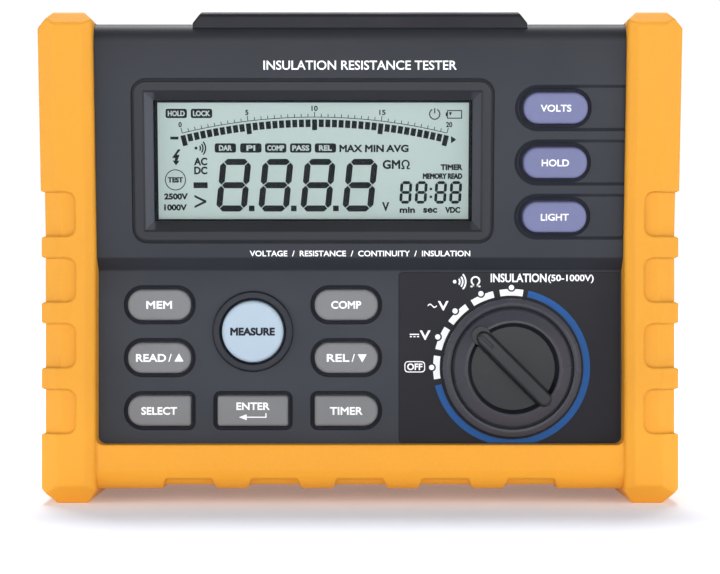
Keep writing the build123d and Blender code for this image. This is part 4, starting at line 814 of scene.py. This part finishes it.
BAR_WIDE, BAR_TOP, BAR_FOOT, BAR_FOOT_TALL = 1.6, 1.2, -1.2, -2.2
TICK_WIDE, TICK_FOOT, TICK_TOP, TICK_TOP_TALL = 0.24, 1.95, 3.0, 3.6
NUMBER_RISE, NUMBER_HIGH, NUMBER_WEIGHT = 4.7, 1.65, 0.07
RIM_IN, RIM_OUT = 1.83, 2.05
bars, ticks, scale_numbers = [], [], []
for index in range(BARS):
    turn = SCALE_HALF * (2 * index / (BARS - 1) - 1)
    tall = index % 10 == 0
    bars.append(on_scale(turn, BAR_FOOT_TALL if tall else BAR_FOOT, BAR_TOP, BAR_WIDE))
    ticks.append(on_scale(turn, TICK_FOOT, TICK_TOP_TALL if tall else TICK_TOP, TICK_WIDE))
    if tall:
        lean = radians(turn)
        text = str(index // 2)
        radius = SCALE_R + NUMBER_RISE
        px = SCALE_X + radius * sin(lean)
        py = SCALE_TOP - SCALE_R + radius * cos(lean)
        wide = 0.95 * len(text) + 0.1
        scale_numbers.append(words(text, wide, NUMBER_HIGH, px, py, NUMBER_WEIGHT))
start, end = 90 - SCALE_HALF, 90 + SCALE_HALF
rim = band(SCALE_R + RIM_IN, SCALE_R + RIM_OUT, start, end, 40, SCALE_X, SCALE_TOP - SCALE_R)
lcd_print("lcd_bars", bars)
lcd_print("lcd_scale", [*ticks, *scale_numbers, shape([rim])])

# A digit's width, height, bar width and slant.
DIGIT, SMALL_DIGIT = (9.8, 16.8, 1.95, 0.105), (3.8, 7.2, 0.95, 0.06)
DIGIT_PITCH, DIGIT_FIRST, DIGIT_Y = 13.43, -25.36, -7.9
digits = []
for place in range(4):
    x = DIGIT_FIRST + DIGIT_PITCH * place
    digits += digit_eight(x, DIGIT_Y, *DIGIT)
    if place < 3:
        digits.append(box_shape(1.8, 1.8, x + 5.7, DIGIT_Y - 7.4))
lcd_print("lcd_main_digits", digits)

small = []
for x in (29.5, 34.4, 40.6, 45.4):
    small += digit_eight(x, -10.2, *SMALL_DIGIT)
for y in (-9.1, -11.6):
    small.append(box_shape(0.75, 0.75, 37.5, y))
lcd_print("lcd_small_digits", small)

BADGES = {
    "HOLD": (-43.4, 14.9), "LOCK": (-35.4, 14.9), "DAR": (-27.9, 3.95), "PI": (-19.8, 3.95),
    "COMP": (-11.9, 3.95), "PASS": (-3.95, 3.95), "REL": (3.9, 3.95),
}
plates = [shape([rounded(6.8, 2.95, 0.7)], x, y) for x, y in BADGES.values()]
lcd_print("lcd_badges", plates)
knockout = []
for text, (x, y) in BADGES.items():
    knockout.append(words(text, 1.3 * len(text) + 0.2, 1.75, x, y, 0.09))
lcd_print("lcd_badge_words", knockout, BADGE_GAP, LIFT + INK)

LCD_WORDS = [
    ("MAX", 7.2, 2.35, 11.95, 3.8), ("MIN", 6.0, 2.35, 19.5, 3.8), ("AVG", 7.1, 2.35, 26.8, 3.8),
    ("AC", 4.2, 2.5, -35.8, -0.35), ("DC", 4.2, 2.5, -35.8, -3.2), ("TEST", 4.9, 1.75, -43.9, -6.2),
    ("2500V", 7.5, 2.0, -43.8, -11.5), ("1000V", 7.2, 2.0, -44.0, -15.0),
    ("GM", 5.6, 2.9, 24.9, -1.3), ("V", 2.2, 2.9, 23.1, -14.75), ("TIMER", 6.9, 1.85, 44.0, -2.15),
    ("MEMORY READ", 12.6, 1.85, 41.2, -5.0), ("min", 4.9, 1.95, 30.0, -15.8),
    ("sec", 4.5, 1.6, 37.3, -15.95), ("VDC", 4.8, 1.95, 44.5, -15.8),
]
LCD_WEIGHT = 0.125
lcd_print("lcd_words", [words(*row, LCD_WEIGHT) for row in LCD_WORDS])

# Painted shadow: a dark band on the display just inside the bezel's opening, where the bezel's shadow falls.
shadow_out = [(52, 20), (-52, 20), (-52, -20), (52, -20)]
shadow_in = [(49.45, 18.3), (-49.35, 18.3), (-49.35, -18.7), (49.45, -18.7)]
lcd_print("lcd_edge_shadow", [shape([shadow_out, shadow_in])])

bolt = [
    (0.5, 2.6), (-1.4, -0.1), (-0.4, -0.1), (-0.6, -1.0), (-1.2, -0.9), (-0.2, -2.5),
    (1.0, -1.0), (0.3, -1.0), (1.0, 0.9), (0.1, 0.9), (1.4, 2.6),
]
greater = [
    (-1.9, 2.1), (1.9, 0.3), (1.9, -0.3), (-1.9, -2.1), (-1.9, -1.4), (0.9, 0), (-1.9, 1.4),
]
symbols = [
    shape([bolt], -43.5, 0.9),
    shape([greater], -36.0, -13.1),
    box_shape(4.5, 1.85, -35.9, -7.9),
    box_shape(2.6, 0.9, -44.1, 7.1),
    shape([[(-0.8, 1.15), (0.9, 0), (-0.8, -1.15)]], 44.6, 6.6),
    shape([disc(3.35, 40), disc(3.07, 40)], -43.9, -6.2),
    *sound_waves(3.7, -35.4, 3.9),
    *omega(3.0, 29.4, -1.3, 0.5),
    shape([band(1.45, 1.8, 118, 422, 30)], 38.6, 14.7),
    box_shape(0.36, 1.7, 38.6, 15.7),
    shape([rounded(4.8, 2.7, 0.25), rounded(4.2, 2.1, 0.12)], 44.9, 14.6),
    box_shape(0.4, 1.2, 42.3, 14.6),
    shape([[(-0.5, 0.6), (0.5, 0.6), (-0.1, -0.6)]], 43.6, 14.7),
]
lcd_print("lcd_symbols", symbols)


# ------------------------------------------------------------ floor, lights, camera
def area_light(name, place, target, size, power):
    """A square soft light at place, aimed at target."""
    data = bpy.data.lights.new(name, "AREA")
    data.shape = "SQUARE"
    data.size = size
    data.energy = power
    lamp = bpy.data.objects.new(name, data)
    lamp.location = place
    lamp.rotation_euler = (Vector(target) - Vector(place)).to_track_quat("-Z", "Y").to_euler()
    scene.collection.objects.link(lamp)


FLOOR_HALF = 6.0
ground = bmesh.new()
bmesh.ops.create_grid(ground, x_segments=1, y_segments=1, size=FLOOR_HALF)
floor_data = bpy.data.meshes.new("floor")
ground.to_mesh(floor_data)
ground.free()
# the floor glows faintly, as a light table does
FLOOR_COLOR, GLOW_COLOR, GLOW = (0.87, 0.9, 0.965), (0.82, 0.86, 1.0), 0.17
floor_look = Look("studio_floor", FLOOR_COLOR, 0.75, Specular_IOR_Level=0.1)
floor_look.vary(floor_look.noise(3, 2), 0.99, 1.01)
floor_look.bump(floor_look.noise(40, 3), 0.05 * MM, 0.2)
floor_look.shader.inputs["Emission Color"].default_value = (*GLOW_COLOR, 1)
floor_look.shader.inputs["Emission Strength"].default_value = GLOW
floor_data.materials.append(floor_look.material)
floor = bpy.data.objects.new("floor", floor_data)
scene.collection.objects.link(floor)

area_light("front", (0.12, -1.6, 0.2), target=(0, 0, 0.05), size=0.8, power=8.8)
for side in (-1, 1):
    area_light("side", (side * 1.3, -0.75, 0.25), target=(0, 0, 0.07), size=0.7, power=4.8)

sun = bpy.data.lights.new("sun", "SUN")
sun.energy = 2.9
sun.angle = radians(26)
sun_lamp = bpy.data.objects.new("sun", sun)
sun_lamp.rotation_euler = (radians(-22), 0, radians(4))
scene.collection.objects.link(sun_lamp)

# The sky is white round the horizon and dimmer overhead.
world = bpy.data.worlds.new("studio")
world.use_nodes = True
sky = world.node_tree
heading = sky.nodes.new("ShaderNodeTexCoord")
parts = sky.nodes.new("ShaderNodeSeparateXYZ")
fade = sky.nodes.new("ShaderNodeMapRange")
ends = {"From Min": 0.2, "From Max": 0.6, "To Min": 1.03, "To Max": 0.32}
for name, number in ends.items():
    fade.inputs[name].default_value = number
sky.links.new(heading.outputs["Generated"], parts.inputs[0])
sky.links.new(parts.outputs["Z"], fade.inputs["Value"])
sky.links.new(fade.outputs["Result"], sky.nodes["Background"].inputs["Strength"])
sky.nodes["Background"].inputs["Color"].default_value = (1, 1, 1, 1)
scene.world = world

CAMERA_PLACE = (0, -0.645, 0.0687)
SENSOR_MM, LENS_MM = 36.0, 96.2
lens = bpy.data.cameras.new("camera")
lens.sensor_width = SENSOR_MM
lens.lens = LENS_MM
camera = bpy.data.objects.new("camera", lens)
camera.location = CAMERA_PLACE
camera.rotation_euler = (radians(90), 0, 0)
scene.collection.objects.link(camera)
scene.camera = camera
scene.view_settings.view_transform = "Standard"
